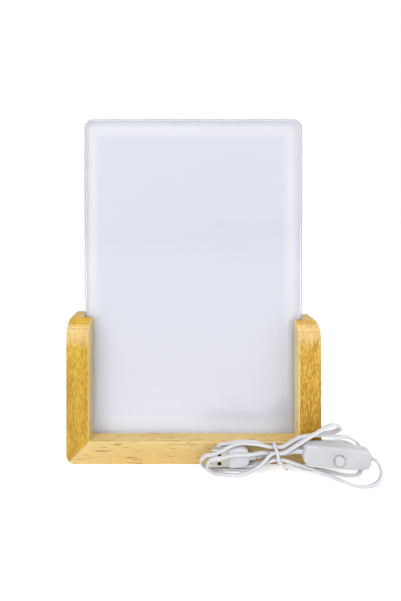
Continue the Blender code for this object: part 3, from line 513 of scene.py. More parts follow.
# Two thin feed wires, one red and one black, are soldered to the strip and run
# back through the bore of the rail into the grommet.
for node, look_name, tone in (
    ("feed_wire_red", "wire_red", (186, 34, 30)),
    ("feed_wire_black", "wire_black", (30, 30, 32)),
):
    insulation = Look(look_name, tone, Roughness=0.35)
    insulation.bump(insulation.noise(insulation.places(), 3000), 0.1, 0.00002)
    dressed(insulation.material, node)

# The grommet is a moulded plastic bush, pressed into the bore from behind. Its
# flange sits on the rail, and its ringed tail keeps the cord from kinking.
SLEEVE_START = 0.0073
SLEEVE_HOLE = 0.0013
SLEEVE_RADIUS = 0.0017
FLANGE_FRONT = 0.0143
FLANGE_BACK = 0.0155
FLANGE_RADIUS = 0.0036
FLANGE_SOFT = 0.0004
TAIL_END = 0.0205
TAIL_RADIUS = 0.0023
TAIL_TAPER = 0.0004
TAIL_RINGS = 4
TAIL_RING = 0.00075
TAIL_GROOVE = 0.0003


def moulded(name, colour, roughness=0.34, grain=1400, relief=0.00003):
    """Moulded plastic: a soft sheen over the faint texture of its mould."""
    look = Look(name, IOR=1.46)
    fine = look.noise(look.places(), grain, 3.0)
    cloud = look.between(look.noise(look.places(), 70, 2.0), 0.3, 0.7)
    darker = [tone * 0.965 for tone in colour]
    look.give("Base Color", look.blended(cloud, linear(*colour), linear(*darker)))
    look.give("Roughness", roughness + fine * 0.10)
    look.bump(fine, 0.12, relief)
    return look.material


WHITE_PLASTIC = moulded("moulded_white", (222, 222, 227))
profile = [
    (SLEEVE_HOLE, FLANGE_BACK),
    (SLEEVE_HOLE, SLEEVE_START),
    (SLEEVE_RADIUS - 0.0001, SLEEVE_START),
    (SLEEVE_RADIUS, SLEEVE_START + 0.0003),
    (SLEEVE_RADIUS, FLANGE_FRONT),
    (FLANGE_RADIUS - 0.0002, FLANGE_FRONT),
    (FLANGE_RADIUS, FLANGE_FRONT + 0.0002),
    (FLANGE_RADIUS, FLANGE_BACK - FLANGE_SOFT),
    (FLANGE_RADIUS - 0.00015, FLANGE_BACK - 0.0001),
    (FLANGE_RADIUS - FLANGE_SOFT, FLANGE_BACK),
]
for ring in range(TAIL_RINGS):
    share = ring / TAIL_RINGS
    start = FLANGE_BACK + (TAIL_END - FLANGE_BACK) * share
    radius = TAIL_RADIUS - TAIL_TAPER * share
    neck = radius - TAIL_GROOVE
    profile += [(radius, start + 0.00005), (radius, start + TAIL_RING)]
    profile += [(neck, start + TAIL_RING + 0.00015), (neck, start + TAIL_RING + 0.00035)]
profile += [(0.0019, TAIL_END - 0.0001), (0.0018, TAIL_END)]
bush = ring_of(profile, (EXIT_X, 0, EXIT_HEIGHT), DEPTHWISE)
grommet = solid("cord_bush", bush, WHITE_PLASTIC)
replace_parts(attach(grommet, "lamp"), "cord_grommet")

# The plate is cast acrylic, 5 mm thick, with two round upper corners. Its faces
# are polished, and its eased edges are satin. It slides down between the
# posts and stands on the groove's floor.
PANEL_FRONT = -0.0032
PANEL_THICKNESS = 0.005
PANEL_BOTTOM = 0.0083
PANEL_TOP = 0.2463
PANEL_WIDTH = 0.160
PANEL_CORNER = 0.007
PANEL_ARRIS = 0.0004
ARRIS_STEPS = 3
CORNER_STEPS = 24
FLAT_SHARE = 0.9


def acrylic_look(name, colour, clearness, haze_least, haze_spread):
    """Acrylic with a fine haze over its surface."""
    look = Look(name, colour, IOR=1.49, Transmission_Weight=clearness)
    haze = look.noise(look.places(), 900, 2.0)
    look.give("Roughness", haze_least + haze * haze_spread)
    return look.material


ACRYLIC = acrylic_look("acrylic_clear", (254, 254, 255), 1.0, 0.015, 0.02)
ACRYLIC_EDGE = acrylic_look("acrylic_edge", (232, 236, 243), 0.5, 0.16, 0.10)


def plate_outline(half, low, high, corner, steps=CORNER_STEPS):
    outline = [(-half, low), (half, low)]
    outline += arc((half - corner, high - corner), corner, 0, math.pi / 2, steps)
    outline += arc((corner - half, high - corner), corner, math.pi / 2, math.pi, steps)
    return outline


outline = plate_outline(PANEL_WIDTH / 2, PANEL_BOTTOM, PANEL_TOP, PANEL_CORNER)
body = slab(outline, PANEL_FRONT, PANEL_FRONT + PANEL_THICKNESS)
body = eased(body, lambda point: False, PANEL_ARRIS, ARRIS_STEPS)
plate = solid("acrylic_plate", body, ACRYLIC)
plate.data.materials.append(ACRYLIC_EDGE)
for face in plate.data.polygons:
    face.material_index = int(abs(face.normal.y) < FLAT_SHARE)
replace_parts(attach(plate, "plate"), "acrylic_panel")

# A white film is bonded to the plate's rear face and reflects the light that
# the strip sends up. Its border carries a painted band of light, as if lit through
# the plate's edges, with a darker painted rim at the very edge, and shows as a
# pale frame. Its field is painted lighter towards the foot, and near the groove
# it has a painted glow that lifts the shade of the rail and posts, though the
# lamp is not lit.
EDGE_LIGHT_SHIFT = 0.0015
TOP_SHARE = 0.83
CORNER_BLEND = 0.005
EDGE_GLOW_SPAN = (0.0072, 0.0130)
RIM_SPAN = (0.0034, 0.0042)
FIELD_SPAN = (0.02, 0.16)
FIELD_LOW = (241, 242, 251)
FIELD_HIGH = (234, 237, 249)
EDGE_GLOW_TONE = (245, 247, 251)
RIM_TONE = (239, 240, 250)
NO_LIGHT = (0, 0, 0, 1)
PAINTED_GLOW = (0.84, 0.90, 1.0, 1)
film_look = Look("film_white", Roughness=0.55)
height = film_look.axis("Z")
from_side = PANEL_WIDTH / 2 - abs(film_look.axis("X") + EDGE_LIGHT_SHIFT)
from_top = (PANEL_TOP - height) * TOP_SHARE
terms = {0: from_side, 1: from_top, 2: CORNER_BLEND}
border = film_look.node("ShaderNodeMath", {"operation": "SMOOTH_MIN"}, terms)
# Painted light: a lighter band near the border, as if lit through the plate's edges, with a darker
# painted rim at the very edge.
edge_glow = film_look.between(border, *EDGE_GLOW_SPAN, 1.0, 0.0)
rim = film_look.between(border, *RIM_SPAN, 1.0, 0.0)
# Painted light: the field is lighter towards the foot, which lifts the shade near the rail.
risen = film_look.between(height, *FIELD_SPAN)
field = film_look.blended(risen, linear(*FIELD_LOW), linear(*FIELD_HIGH))
field = film_look.blended(edge_glow, field, linear(*EDGE_GLOW_TONE))
film_look.give("Base Color", film_look.blended(rim, field, linear(*RIM_TONE)))
# Painted glow: the film gives off light low down, less towards the sides, which lifts the shade of
# the rail and posts; the lamp is not lit.
foot = film_look.between(height, 0.014, 0.030, 0.20, 0.0)
foot = foot + film_look.between(height, 0.014, 0.060, 0.10, 0.0)
foot = foot * film_look.between(from_side, 0.006, 0.030, 0.45, 1.0)
film_look.give("Emission Color", film_look.blended(foot, NO_LIGHT, PAINTED_GLOW))
film_look.shader.inputs["Emission Strength"].default_value = 1.0
dressed(film_look.material, "backing_film")

# The cord is flat and limp: two cores side by side in white PVC. One stretch
# comes out of the grommet, passes once through the hank and enters the switch;
# the other runs from the switch through the hank, in two loops, to the plug.
CORD_WIDTH = 0.0032
CORD_RADIUS = CORD_WIDTH / 2
CORE_RADIUS = 0.0009
CORE_SHIFT = CORD_RADIUS - CORE_RADIUS
CORE_STEPS = 12
FOLD_EASE = math.radians(5)
TWIST_REACH = 0.012
END_HOLD = 0.004
UPRIGHT = (0, 0, 1)
LEAN_BACK = np.array((0, 0.95, -0.31))
LEAN_PULL = 0.10
FLOOR_GAP = 0.00005
FINE_STEP = 0.0008
FOLD_SIZE = 0.0142
PER_METRE = 1000
TURN_STEPS = 8
SWITCH = Matrix.Translation((0.0947, -0.0261, 0.0147)) @ Matrix.Rotation(math.radians(5.4), 4, "Y")
SWITCH_END = 0.0224
CORD_RISE = 0.0005
SOCKET_DEPTH = 0.0022
PLUG = Matrix.Translation((0.0236, -0.02075, 0.0102)) @ Matrix.Rotation(math.radians(-1.5), 4, "Y")
PLUG_TAIL = 0.0185
TIE_PLACE = Vector((0.0560, -0.0212, 0.0129))
TIE_PITCH = 0.00415
TIE_LEAN = math.radians(-33)
TIE_RUN = 0.0040
SHORT_RUN = 0.0026
SLOT_NAMES = ("back", "top_back", "top_front", "front", "low_front", "low_back")


def mm(*places):
    """Route points that are written in millimetres."""
    return [Vector(place) / PER_METRE for place in places]


def slot_place(name):
    """The depth and height of a strand's place in the tie."""
    if name == "centre":
        return TIE_PLACE.y, TIE_PLACE.z
    turn = TIE_LEAN + math.tau * SLOT_NAMES.index(name) / len(SLOT_NAMES)
    return TIE_PLACE.y + TIE_PITCH * math.cos(turn), TIE_PLACE.z + TIE_PITCH * math.sin(turn)


def through(name, heading, half=TIE_RUN):
    """Points of a strand that runs level through the tie, towards +X or -X."""
    y, z = slot_place(name)
    return [Vector((TIE_PLACE.x + heading * along, y, z)) for along in (-half, 0, half)]


def half_turn(start, end, side):
    """Points on the half circle from start to end that bulges towards +X or -X."""
    middle = (start + end) / 2
    radius = (end - start).length / 2
    turns = [math.pi * step / TURN_STEPS for step in range(TURN_STEPS + 1)]
    out = Vector((side * radius, 0, 0))
    return [middle + (start - middle) * math.cos(turn) + out * math.sin(turn) for turn in turns]


def left_fold(tip, depth, height, lean):
    """A fold at the left end of the hank: down from its upper strand to its foot."""
    low = mm((tip + FOLD_SIZE / 2 * PER_METRE, depth, height))[0]
    high = low + Vector((0, -math.sin(lean), math.cos(lean))) * FOLD_SIZE
    return half_turn(high, low, -1)


def smooth_line(points):
    """Fine points on the smooth curve through the route's points."""
    p = np.array([tuple(point) for point in points])
    spans = np.linalg.norm(np.diff(p, axis=0), axis=1)
    count = len(p)
    matrix = np.eye(count)
    right = np.zeros((count, 3))
    for i in range(1, count - 1):
        before, after = spans[i - 1], spans[i]
        matrix[i, i - 1:i + 2] = before, 2 * (before + after), after
        right[i] = 6 * ((p[i + 1] - p[i]) / after - (p[i] - p[i - 1]) / before)
    bend = np.linalg.solve(matrix, right)
    fine = []
    for i, span in enumerate(spans):
        steps = max(2, round(span / FINE_STEP))
        for step in range(steps):
            u = span * step / steps
            w = span - u
            start = (p[i] / span - bend[i] * span / 6) * w
            end = (p[i + 1] / span - bend[i + 1] * span / 6) * u
            fine.append((bend[i] * w ** 3 + bend[i + 1] * u ** 3) / (6 * span) + start + end)
    fine.append(p[-1])
    fine = np.array(fine)
    fine[:, 2] = np.maximum(fine[:, 2], CORD_RADIUS + FLOOR_GAP)
    return fine


def twin_section(spare=0.0):
    """The outline of the flat cord: two round cores that run into each other."""
    radius = CORE_RADIUS + spare
    reach = math.acos(-CORE_SHIFT / radius) - FOLD_EASE
    outline = arc((CORE_SHIFT, 0), radius, -reach, reach, CORE_STEPS)
    return outline + arc((-CORE_SHIFT, 0), radius, math.pi - reach, math.pi + reach, CORE_STEPS)


def lay_of(points):
    """Which way the cord's width lies: square to its bends, leaning back where it is straight."""
    ways = np.gradient(points, axis=0)
    ways /= np.linalg.norm(ways, axis=1)[:, None]
    wide = np.cross(ways, np.gradient(ways, axis=0))
    hold = max(1, round(END_HOLD / FINE_STEP))
    wide[:hold] = wide[-hold:] = UPRIGHT
    wide *= np.where(wide @ LEAN_BACK < 0, -1, 1)[:, None]
    wide += LEAN_BACK * LEAN_PULL
    reach = round(TWIST_REACH / FINE_STEP)
    bell = np.exp(-np.linspace(-2, 2, 2 * reach + 1) ** 2)
    padded = np.concatenate([wide[:1].repeat(reach, axis=0), wide, wide[-1:].repeat(reach, axis=0)])
    wide = np.stack([np.convolve(padded[:, k], bell, "valid") for k in range(3)], axis=1)
    wide -= ways * (wide * ways).sum(axis=1)[:, None]
    wide /= np.linalg.norm(wide, axis=1)[:, None]
    return ways, wide


def lead(name, route, look):
    """The flat cord on its route, and the points that it follows."""
    points = smooth_line(route)
    ways, wide = lay_of(points)
    thick = np.cross(ways, wide)
    low = CORE_RADIUS + CORE_SHIFT * np.abs(wide[:, 2])
    near_floor = np.clip(2 - points[:, 2] / CORD_RADIUS, 0, 1)
    points[:, 2] -= (CORD_RADIUS - low) * near_floor
    outline = twin_section()
    rings = [[p + w * a + t * b for a, b in outline] for p, w, t in zip(points, wide, thick)]
    return solid(name, loft(rings), look, crease=50), points.tolist()


EXIT = Vector((EXIT_X, TAIL_END + JOINT_GAP, EXIT_HEIGHT))
SWITCH_IN = SWITCH @ Vector((SWITCH_END - SOCKET_DEPTH, 0, CORD_RISE))
SWITCH_OUT = SWITCH @ Vector((SOCKET_DEPTH - SWITCH_END, 0, CORD_RISE))
SWITCH_RIGHT = SWITCH @ Vector((SWITCH_END, 0, CORD_RISE))
SWITCH_LEFT = SWITCH @ Vector((-SWITCH_END, 0, CORD_RISE))
PLUG_END = PLUG @ Vector((PLUG_TAIL, 0, 0))
PLUG_OUT = PLUG @ Vector((PLUG_TAIL + CORD_WIDTH, 0, 0))
lamp_route = [EXIT, EXIT + Vector((0, CORD_WIDTH, 0))]
lamp_route += mm(
    (64.8, 29, 4.4), (68.6, 33.4, 2.6), (75.0, 34.2, 1.7), (81.0, 30.4, 1.6), (85.8, 24.0, 1.6),
    (90.4, 17.2, 1.6), (96.0, 12.4, 1.6), (103.4, 10.6, 1.6), (111.2, 10.9, 1.6),
    (117.2, 9.0, 1.6), (121.0, 4.2, 1.6), (122.6, -2.0, 1.9), (122.2, -8.4, 4.1),
    (120.0, -13.8, 8.4), (116.6, -16.8, 13.6), (112.2, -18.6, 18.8), (106.6, -20.4, 23.0),
    (99.5, -22.1, 24.9), (92.5, -22.5, 25.6), (85, -22.5, 25.9), (78.5, -22.4, 25.8),
    (72, -22.1, 24.4), (65.8, -21.7, 20.8),
)
lamp_route += through("top_front", -1)
lamp_route += mm(
    (46, -20.8, 18.2), (38, -20.8, 19.1), (29.5, -21.3, 19.3), (22.5, -23.8, 18.3),
    (17, -25.0, 16.2),
)
lamp_route += left_fold(4.6, -19.6, 1.7, math.radians(24))
lamp_route += mm(
    (19, -20.2, 1.7), (29, -20.3, 1.7), (37.5, -20.9, 1.9), (42.5, -22.3, 4.1),
    (47.3, -23.7, 7.5),
)
lamp_route += through("low_front", 1, SHORT_RUN)
lamp_route += mm(
    (66, -25.4, 9.4), (72, -25.6, 7.6), (78, -25.7, 5.7), (84, -26.0, 3.7), (90, -27.0, 2.2),
    (94.6, -29.4, 1.65), (99.4, -32.8, 1.65), (104.2, -35.3, 1.65), (109.2, -36.0, 1.65),
    (113.4, -35.5, 1.8), (117.0, -34.6, 2.5), (120.2, -33.3, 4.0), (122.3, -31.4, 6.4),
    (122.8, -29.4, 8.9), (121.9, -27.7, 11.1), (119.8, -26.5, 12.55),
)
lamp_route += [SWITCH_RIGHT, SWITCH_IN]

hank_route = [SWITCH_OUT, SWITCH_LEFT]
hank_route += mm((69.2, -25.4, 16.8), (64.8, -23.0, 14.5))
hank_route += through("centre", -1)
hank_route += mm(
    (46.5, -22.9, 14.3), (41, -24.7, 14.8), (36, -25.6, 14.8), (29, -26.3, 15.0),
    (22, -27.5, 14.9),
)
hank_route += left_fold(8.4, -24.1, 1.7, math.radians(22))
hank_route += mm(
    (21.5, -25.1, 1.7), (29, -25.9, 1.9), (36, -26.6, 3.9), (41.5, -27.1, 7.1),
    (46.8, -26.9, 11.2),
)
hank_route += through("front", 1, SHORT_RUN)
hank_route += mm((64.4, -25.9, 18.8), (70.5, -26.9, 23.5), (77.5, -27.2, 28.1), (85.3, -26.7, 32.4))
hank_route += half_turn(*mm((92.8, -25.5, 34.8), (92.8, -16.9, 24.6)), 1)
hank_route += mm((86.5, -16.9, 23.8), (80, -17.0, 22.4), (72, -17.1, 19.6), (65, -17.3, 16.7))
hank_route += through("top_back", -1)
hank_route += mm((46, -16.8, 17.0), (38, -16.1, 17.8), (30, -15.95, 17.4))
hank_route += left_fold(14.5, -15.95, 1.7, 0)
hank_route += mm((28, -16.0, 1.7), (35, -16.1, 1.8), (41, -16.9, 3.4), (46.3, -19.3, 5.3))
hank_route += through("low_back", 1, SHORT_RUN)
hank_route += mm(
    (65, -20.9, 6.2), (72, -20.3, 3.3), (79, -19.8, 1.8), (86.5, -20.6, 1.7), (94, -23.2, 1.7),
    (100, -25.6, 1.7), (105.6, -26.4, 1.7), (110.6, -24.8, 1.7), (114.0, -21.6, 2.8),
    (115.6, -18.0, 5.6), (114.4, -15.2, 9.4), (110.6, -13.8, 12.6), (105.4, -13.6, 14.6),
    (99.4, -14.2, 15.4), (92.5, -15.95, 15.5), (84, -16.4, 14.8), (75, -16.7, 13.4),
    (66, -17.2, 11.6),
)
hank_route += through("back", -1)
hank_route += [PLUG_OUT, PLUG_END]

PVC = moulded("cord_pvc", (221, 222, 227), 0.30, 900, 0.00002)
lamp_cord, lamp_path = lead("lead_to_switch", lamp_route, PVC)
plug_cord, plug_path = lead("lead_to_plug", hank_route, PVC)
for piece, node in ((lamp_cord, "lamp_lead"), (plug_cord, "cord_hank")):
    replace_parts(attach(piece, "lamp"), node)

# The inline switch is a two-part housing in white plastic, snapped together
# round the cord. Its flat front faces the viewer, and its back is arched.
UPPER_HALF = 0.0067
LOWER_HALF = 0.0069
UPPER_BULGE = 0.0004
LOWER_BULGE = 0.0013
UPPER_CORNER = 0.0026
LOWER_CORNER = 0.0034
FRONT_DEPTH = 0.0036
REAR_DEPTH = 0.0061
REAR_END_DEPTH = 0.0037
FRONT_ROUND = 0.0013
REAR_ROUND = 0.0022
ROUND_STEPS = 12
ROUND_LIMIT = 0.6
END_STEPS = 16
MOUTH_DEPTH = 0.0025
MOUTH_REACH = 0.002
POCKET_LOW = (-0.0176, -0.0022, -0.0042)
POCKET_HIGH = (0.0176, 0.002, 0.0049)
BUTTON_PLACE = (0.0009, 0, -0.0011)
BUTTON_RECESSES = ((0.0043, -0.0022, 0.002), (0.00345, -0.006, 0), (0.0044, -0.006, -0.0032))


def end_loss(x, radius):
    """How far a rounding of this radius draws an edge in near either end."""
    past = abs(x) - (SWITCH_END - radius)
    return radius - math.sqrt(max(radius ** 2 - past ** 2, 0)) if past > 0 else 0


def housing_ring(x, side):
    """One housing half at one station: from the parting line round and back."""
    share = (x / SWITCH_END) ** 2
    top = UPPER_HALF - UPPER_BULGE * share - end_loss(x, UPPER_CORNER)
    bottom = LOWER_BULGE * share - LOWER_HALF + end_loss(x, LOWER_CORNER)
    edge, deep = FRONT_ROUND, FRONT_DEPTH
    if side > 0:
        arch = math.cos(math.pi * x / (2 * SWITCH_END))
        edge, deep = REAR_ROUND, REAR_END_DEPTH + (REAR_DEPTH - REAR_END_DEPTH) * arch
    deep -= end_loss(x, FRONT_ROUND)
    edge = min(edge, deep * ROUND_LIMIT, (top - bottom) * ROUND_LIMIT)
    flat, high, low = deep - edge, top - edge, bottom + edge
    parting = side * JOINT_GAP / 2
    turns = [math.pi / 2 * step / ROUND_STEPS for step in range(ROUND_STEPS + 1)]
    ring = [(x, parting, bottom), (x, parting, top)]
    ring += [(x, side * (flat + edge * math.sin(t)), high + edge * math.cos(t)) for t in turns]
    ring += [(x, side * (flat + edge * math.cos(t)), low - edge * math.sin(t)) for t in turns]
    return ring


def set_at(bm, place):
    bmesh.ops.transform(bm, matrix=place, verts=bm.verts)
    return bm


level = SWITCH_END - LOWER_CORNER
turns = [math.pi / 2 * step / END_STEPS for step in range(1, END_STEPS + 1)]
ends = [level + LOWER_CORNER * math.sin(turn) for turn in turns]
stations = [-x for x in ends[::-1]]
stations += [level * (step / END_STEPS - 1) for step in range(2 * END_STEPS + 1)] + ends
SWITCH_PLASTIC = moulded("switch_white", (209, 209, 214), 0.30)
for side, node, name in (
    (-1, "switch_front_shell", "switch_front"),
    (1, "switch_rear_shell", "switch_rear"),
):
    cutters = []
    for end in (-1, 1):
        run = (end * (SWITCH_END - MOUTH_DEPTH), end * (SWITCH_END + MOUTH_REACH))
        mouth = [[(x, b, CORD_RISE + a) for a, b in twin_section(JOINT_GAP / 2)] for x in run]
        cutters.append(set_at(loft(mouth), SWITCH))
    if side < 0:
        cutters.append(set_at(block(POCKET_LOW, POCKET_HIGH), SWITCH))
        for radius, start, end in BUTTON_RECESSES:
            recess = ring_of([(radius, start), (radius, end)], BUTTON_PLACE, DEPTHWISE)
            cutters.append(set_at(recess, SWITCH))
    half = loft([housing_ring(x, side) for x in stations])
    shell = solid(name, set_at(half, SWITCH), SWITCH_PLASTIC, cutters)
    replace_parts(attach(shell, "lamp"), node)

# The push button is a round cap with a soft rim. Its collar keeps it in the
# housing, and its stem works the latch, a bought-in unit in dark plastic.
FACE = -0.0048
FACE_CROWN = 0.00012
CAP_RADIUS = 0.00315
CAP_ROUND = 0.0005
CAP_TURNS = (0, 0.4, 0.8, 1.2, math.pi / 2)
COLLAR_RADIUS = 0.0040
COLLAR_SPAN = (-0.0019, -0.0011)
STEM_RADIUS = 0.0012
STEM_END = 0.0025
profile = [(0.0001, FACE - FACE_CROWN), (0.0014, FACE - FACE_CROWN * 0.75), (0.0023, FACE)]
for turn in CAP_TURNS:
    radius = CAP_RADIUS - CAP_ROUND + CAP_ROUND * math.sin(turn)
    profile.append((radius, FACE + CAP_ROUND - CAP_ROUND * math.cos(turn)))
profile.append((CAP_RADIUS, COLLAR_SPAN[0]))
profile += [(COLLAR_RADIUS, along) for along in COLLAR_SPAN]
profile += [(STEM_RADIUS, COLLAR_SPAN[1]), (STEM_RADIUS, STEM_END)]
BUTTON_PLASTIC = moulded("button_white", (217, 217, 222), 0.28)
cap = ring_of(profile, BUTTON_PLACE, DEPTHWISE)
button = solid("button_cap", set_at(cap, SWITCH), BUTTON_PLASTIC)
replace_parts(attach(button, "button"), "push_button")
DARK_PLASTIC = moulded("dark_plastic", (46, 46, 50), 0.4)
dressed(DARK_PLASTIC, "latch_switch")

# The plug has a moulded white grip and a bright steel shell, folded from sheet
# with two latch windows in each broad side. The dark tongue in its mouth
# carries four gilt contacts.
GRIP_LENGTH = 0.0134
GRIP_WIDTH = 0.0128
GRIP_THICKNESS = 0.0058
GRIP_ROUND = 0.0014
PLUG_CORNER_STEPS = 8
GRIP_ENDS = ((0, 0.0010, 0.0009), (0.0001, 0.0004, 0.0012))
GRIP_SHAPE = (
    (0.04, 1, 1), (0.35, 1, 1), (0.62, 1, 1), (0.75, 0.955, 0.98),
    (0.86, 0.88, 0.94), (0.94, 0.77, 0.91), (1, 0.62, 0.86),
)
NECK_SHAPE = ((GRIP_LENGTH + 0.0005, 0.0044, 0.00215), (PLUG_TAIL - JOINT_GAP, 0.0042, 0.00205))
SHELL_LENGTH = 0.0118
SHELL_WIDTH = 0.0120
SHELL_THICKNESS = 0.0045
SHELL_WALL = 0.0003
SHELL_CORNER = 0.0007
SHELL_BACK = 0.0050
SOCKET_ROOM = 0.0006
SOCKET_CORNER = 0.0010
SOCKET_MOUTH = -0.002
WINDOW_SPAN = (-0.0078, -0.0053)
WINDOW_PLACE = 0.0030
WINDOW_HALF = 0.0011
WINDOW_CUT = 0.0006
PIN_SIZE = {"Length": 0.0090, "Width": 0.0010, "Thickness": 0.00012}
PIN_MIDDLE = -0.0062
PIN_FACE = -0.00021


def plug_ring(along, width, thickness, corner):
    """A rounded outline square to the plug, at one place along it."""
    across, tall = thickness / 2 - corner, width / 2 - corner
    outline = []
    for y, z, quarter in ((-1, -1, 2), (1, -1, 3), (1, 1, 0), (-1, 1, 1)):
        start, end = quarter * math.pi / 2, (quarter + 1) * math.pi / 2
        outline += arc((y * across, z * tall), corner, start, end, PLUG_CORNER_STEPS)
    return [(along, y, z) for y, z in outline]


rings = []
for along, less, corner in GRIP_ENDS:
    rings.append(plug_ring(along, GRIP_WIDTH - less, GRIP_THICKNESS - less, corner))
for share, wide, thick in GRIP_SHAPE:
    size = (GRIP_WIDTH * wide, GRIP_THICKNESS * thick, GRIP_ROUND)
    rings.append(plug_ring(GRIP_LENGTH * share, *size))
for along, across, corner in NECK_SHAPE:
    rings.append(plug_ring(along, across, across, corner))
opening = (SHELL_WIDTH + SOCKET_ROOM, SHELL_THICKNESS + SOCKET_ROOM, SOCKET_CORNER)
socket = [plug_ring(along, *opening) for along in (SOCKET_MOUTH, SHELL_BACK + JOINT_GAP)]
grip = solid("plug_grip", set_at(loft(rings), PLUG), WHITE_PLASTIC, [set_at(loft(socket), PLUG)])
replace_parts(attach(grip, "lamp"), "usb_plug_grip")

STEEL = Look("plated_steel", (202, 198, 188), Metallic=1.0)
brushed = STEEL.noise(STEEL.places((0, 0, 0), (1, 1, 0.06)), 6000, 2.0)
STEEL.give("Roughness", 0.20 + brushed * 0.14)
STEEL.bump(brushed, 0.08, 0.00002)
outer = (SHELL_WIDTH, SHELL_THICKNESS, SHELL_CORNER)
inner = (
    SHELL_WIDTH - 2 * SHELL_WALL,
    SHELL_THICKNESS - 2 * SHELL_WALL,
    SHELL_CORNER - SHELL_WALL,
)
rings = [plug_ring(SHELL_BACK, *outer), plug_ring(-SHELL_LENGTH, *outer)]
rings += [plug_ring(-SHELL_LENGTH, *inner), plug_ring(SHELL_BACK, *inner)]
windows = []
for side in (-1, 1):
    for end in (-1, 1):
        face, middle = side * SHELL_THICKNESS / 2, end * WINDOW_PLACE
        low = (WINDOW_SPAN[0], face - WINDOW_CUT, middle - WINDOW_HALF)
        high = (WINDOW_SPAN[1], face + WINDOW_CUT, middle + WINDOW_HALF)
        windows.append(set_at(block(low, high), PLUG))
metal = solid("plug_shell", set_at(loft(rings, closed=True), PLUG), STEEL.material, windows)
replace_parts(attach(metal, "lamp"), "usb_plug_shell")
dressed(DARK_PLASTIC, "usb_plug_tongue")

GILT = Look("gilt_contact", (214, 172, 92), Metallic=1.0, Roughness=0.25)
GILT.bump(GILT.noise(GILT.places(), 5000), 0.1, 0.00001)
pins = Grower("plug_contacts", Count=4, Pitch=0.0022, **PIN_SIZE)
strip = pins.box(pins.size["Length"], pins.size["Thickness"], pins.size["Width"])
first = pins.vector(x=PIN_MIDDLE, y=PIN_FACE, z=pins.half_run())
placed = pins.in_row(pins.coated(strip, GILT.material), first, pins.vector(z=pins.size["Pitch"]))
contacts = pins.grow("plug_contacts", placed)
contacts.data.transform(PLUG)
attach(contacts, "lamp")

# The tie is a flat plastic band with a wire core. It is wound once round the
# strands, and its two ends are twisted together in front.
TIE_WIDTH = 0.0022
TIE_THICKNESS = 0.0009
TIE_SLACK = 0.0005
TIE_SLANT = 0.2
TIE_STEPS = 12
TIE_SECTION = (
    (0, -0.8), (0, 0.8), (0.25, 1), (0.75, 1), (1, 0.8), (1, -0.8), (0.75, -1), (0.25, -1),
)
TWIST_ROOT = TIE_PLACE + Vector((0.0008, -0.0063, -0.0021))
TWIST_WAY = Vector((0.70, -0.30, -0.55)).normalized()
TWIST_LENGTH = 0.0050
TWIST_TURN = math.radians(230)
TWIST_STEPS = 40
TWIST_SIDES = 20
TWIST_WAIST = 0.35
WIRE_PROFILE = ((0.0004, 0.0046), (0.0004, 0.0058), (0.0003, 0.0060))
WIRE_SIDES = 16
rings = []
inside = CORD_RADIUS + TIE_SLACK
for name in SLOT_NAMES:
    y, z = slot_place(name)
    facing = math.atan2(z - TIE_PLACE.z, y - TIE_PLACE.y)
    for step in range(TIE_STEPS + 1):
        angle = facing + math.tau / len(SLOT_NAMES) * (step / TIE_STEPS - 0.5)
        ring = []
        for radius, side in TIE_SECTION:
            out = inside + TIE_THICKNESS * radius
            high = z + out * math.sin(angle)
            slant = (TIE_PLACE.z - high) * TIE_SLANT
            x = TIE_PLACE.x + slant + side * TIE_WIDTH / 2
            ring.append((x, y + out * math.cos(angle), high))
        rings.append(ring)
TIE_PLASTIC = moulded("tie_plastic", (214, 216, 224), 0.28, 2000)
band = solid("tie_band", loft(rings, closed=True), TIE_PLASTIC, crease=50)
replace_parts(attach(band, "lamp"), "cord_tie")

sideways = TWIST_WAY.orthogonal().normalized()
turns = [math.tau * k / TWIST_SIDES for k in range(TWIST_SIDES)]
waist = [1 - TWIST_WAIST * math.sin(turn) ** 8 for turn in turns]
rings = []
for step in range(TWIST_STEPS + 1):
    share = step / TWIST_STEPS
    one = Matrix.Rotation(TWIST_TURN * share, 3, TWIST_WAY) @ sideways
    two = TWIST_WAY.cross(one)
    middle = TWIST_ROOT + TWIST_WAY * TWIST_LENGTH * share
    ring = []
    for turn, narrow in zip(turns, waist):
        over = one * math.cos(turn) * TIE_WIDTH / 2 * narrow
        ring.append(middle + over + two * math.sin(turn) * TIE_THICKNESS / 2)
    rings.append(ring)
twist = solid("tie_twist", loft(rings), TIE_PLASTIC, crease=60)
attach(twist, "lamp")
wire_end = ring_of(WIRE_PROFILE, TWIST_ROOT, TWIST_WAY, WIRE_SIDES)
steel = Look("tie_steel", (92, 92, 98), Metallic=1.0)
drawn = steel.noise(steel.places(), 3000, 2.0)
steel.give("Roughness", steel.between(drawn, 0.3, 0.7, 0.30, 0.42))
steel.bump(drawn, 0.2, 0.00001)
core = solid("tie_wire", wire_end, steel.material)
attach(core, "lamp")

# The lamp stands on a plain white sheet that runs on to the horizon. A soft key
# light shines from the left, a weaker one from the right and a broad one from
# above, in an even white surround.
FLOOR_REACH = 6
FLOOR_LIFT = {"Is Camera Ray": 0.50, "Is Glossy Ray": 0.08, "Is Transmission Ray": 0.50}
SKY_LIGHT = 0.62
SKY_WHITE = {"Is Camera Ray": 1, "Is Glossy Ray": 1, "Is Transmission Ray": 1}
WHITE = (1, 1, 1, 1)


def seen_by(bench, shares):
    """A value that the kind of ray decides: each kind counts for its share."""
    rays = bench.tree.nodes.new("ShaderNodeLightPath")
    terms = [Signal(bench, rays.outputs[kind]) * share for kind, share in shares.items()]
    return sum(terms[1:], terms[0])


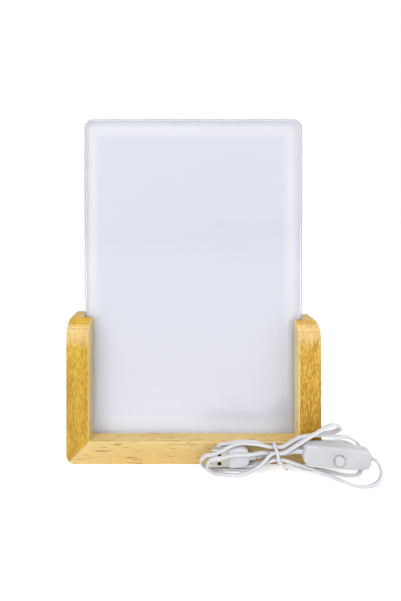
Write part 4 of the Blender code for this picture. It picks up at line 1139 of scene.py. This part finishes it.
floor_look = Look("floor_white", (244, 244, 244), Roughness=0.9)
floor_look.shader.inputs["Specular IOR Level"].default_value = 0.1
sockets = {"Color": WHITE, "Strength": seen_by(floor_look, FLOOR_LIFT)}
lift = floor_look.node("ShaderNodeEmission", None, sockets)
plain = Signal(floor_look, floor_look.shader.outputs[0])
both = floor_look.node("ShaderNodeAddShader", None, {0: plain, 1: lift})
floor_out = floor_look.tree.nodes["Material Output"]
floor_look.tree.links.new(both.socket, floor_out.inputs["Surface"])
bm = bmesh.new()
bmesh.ops.create_grid(bm, x_segments=1, y_segments=1, size=FLOOR_REACH)
floor_mesh = bpy.data.meshes.new("floor")
bm.to_mesh(floor_mesh)
bm.free()
floor_mesh.materials.append(floor_look.material)
linked("floor", floor_mesh)

scene = bpy.context.scene
scene.world = bpy.data.worlds.new("surround")
scene.world.use_nodes = True
sky = Bench(scene.world.node_tree)
plain_light = sky.tree.nodes["Background"]
plain_light.inputs["Color"].default_value = WHITE
plain_light.inputs["Strength"].default_value = SKY_LIGHT
plain = Signal(sky, plain_light.outputs[0])
bright = sky.node("ShaderNodeBackground", None, {"Color": WHITE, "Strength": 1.0})
mixed = sky.node("ShaderNodeMixShader", None, {0: seen_by(sky, SKY_WHITE), 1: plain, 2: bright})
sky.tree.links.new(mixed.socket, sky.tree.nodes["World Output"].inputs["Surface"])


def softbox(name, place, aim, size, power):
    lamp = bpy.data.lights.new(name, "AREA")
    lamp.shape = "RECTANGLE"
    lamp.size, lamp.size_y = size
    lamp.energy = power
    box = bpy.data.objects.new(name, lamp)
    scene.collection.objects.link(box)
    box.location = place
    toward = Vector(aim) - Vector(place)
    box.rotation_euler = toward.to_track_quat("-Z", "Y").to_euler()


softbox("key", (-0.9, -1.1, 0.9), (0, 0, 0.08), (0.4, 0.4), 8.0)
softbox("fill", (1.2, -0.7, 0.8), (0, 0, 0.08), (1.0, 1.0), 4.6)
softbox("top", (0.1, -0.7, 1.4), (0, 0, 0.02), (0.9, 0.9), 5.0)

# The camera stands level in front, a little left of the middle. Its lens is
# shifted down, so that the picture takes in the whole lamp and some floor.
FOCAL = 354
PICTURE = (401, 601)
AXIS = (182, 217)
SENSOR = 36
CAMERA_PLACE = (-0.0083, -0.263, 0.1743)
lens = bpy.data.cameras.new("camera")
lens.sensor_width = SENSOR
lens.lens = FOCAL / PICTURE[1] * lens.sensor_width
lens.shift_x = (PICTURE[0] / 2 - AXIS[0]) / PICTURE[1]
lens.shift_y = -(PICTURE[1] / 2 - AXIS[1]) / PICTURE[1]
lens.clip_start = 0.01
camera = bpy.data.objects.new("camera", lens)
scene.collection.objects.link(camera)
camera.location = CAMERA_PLACE
camera.rotation_euler = (math.pi / 2, 0, 0)
scene.camera = camera
scene.view_settings.view_transform = "Standard"
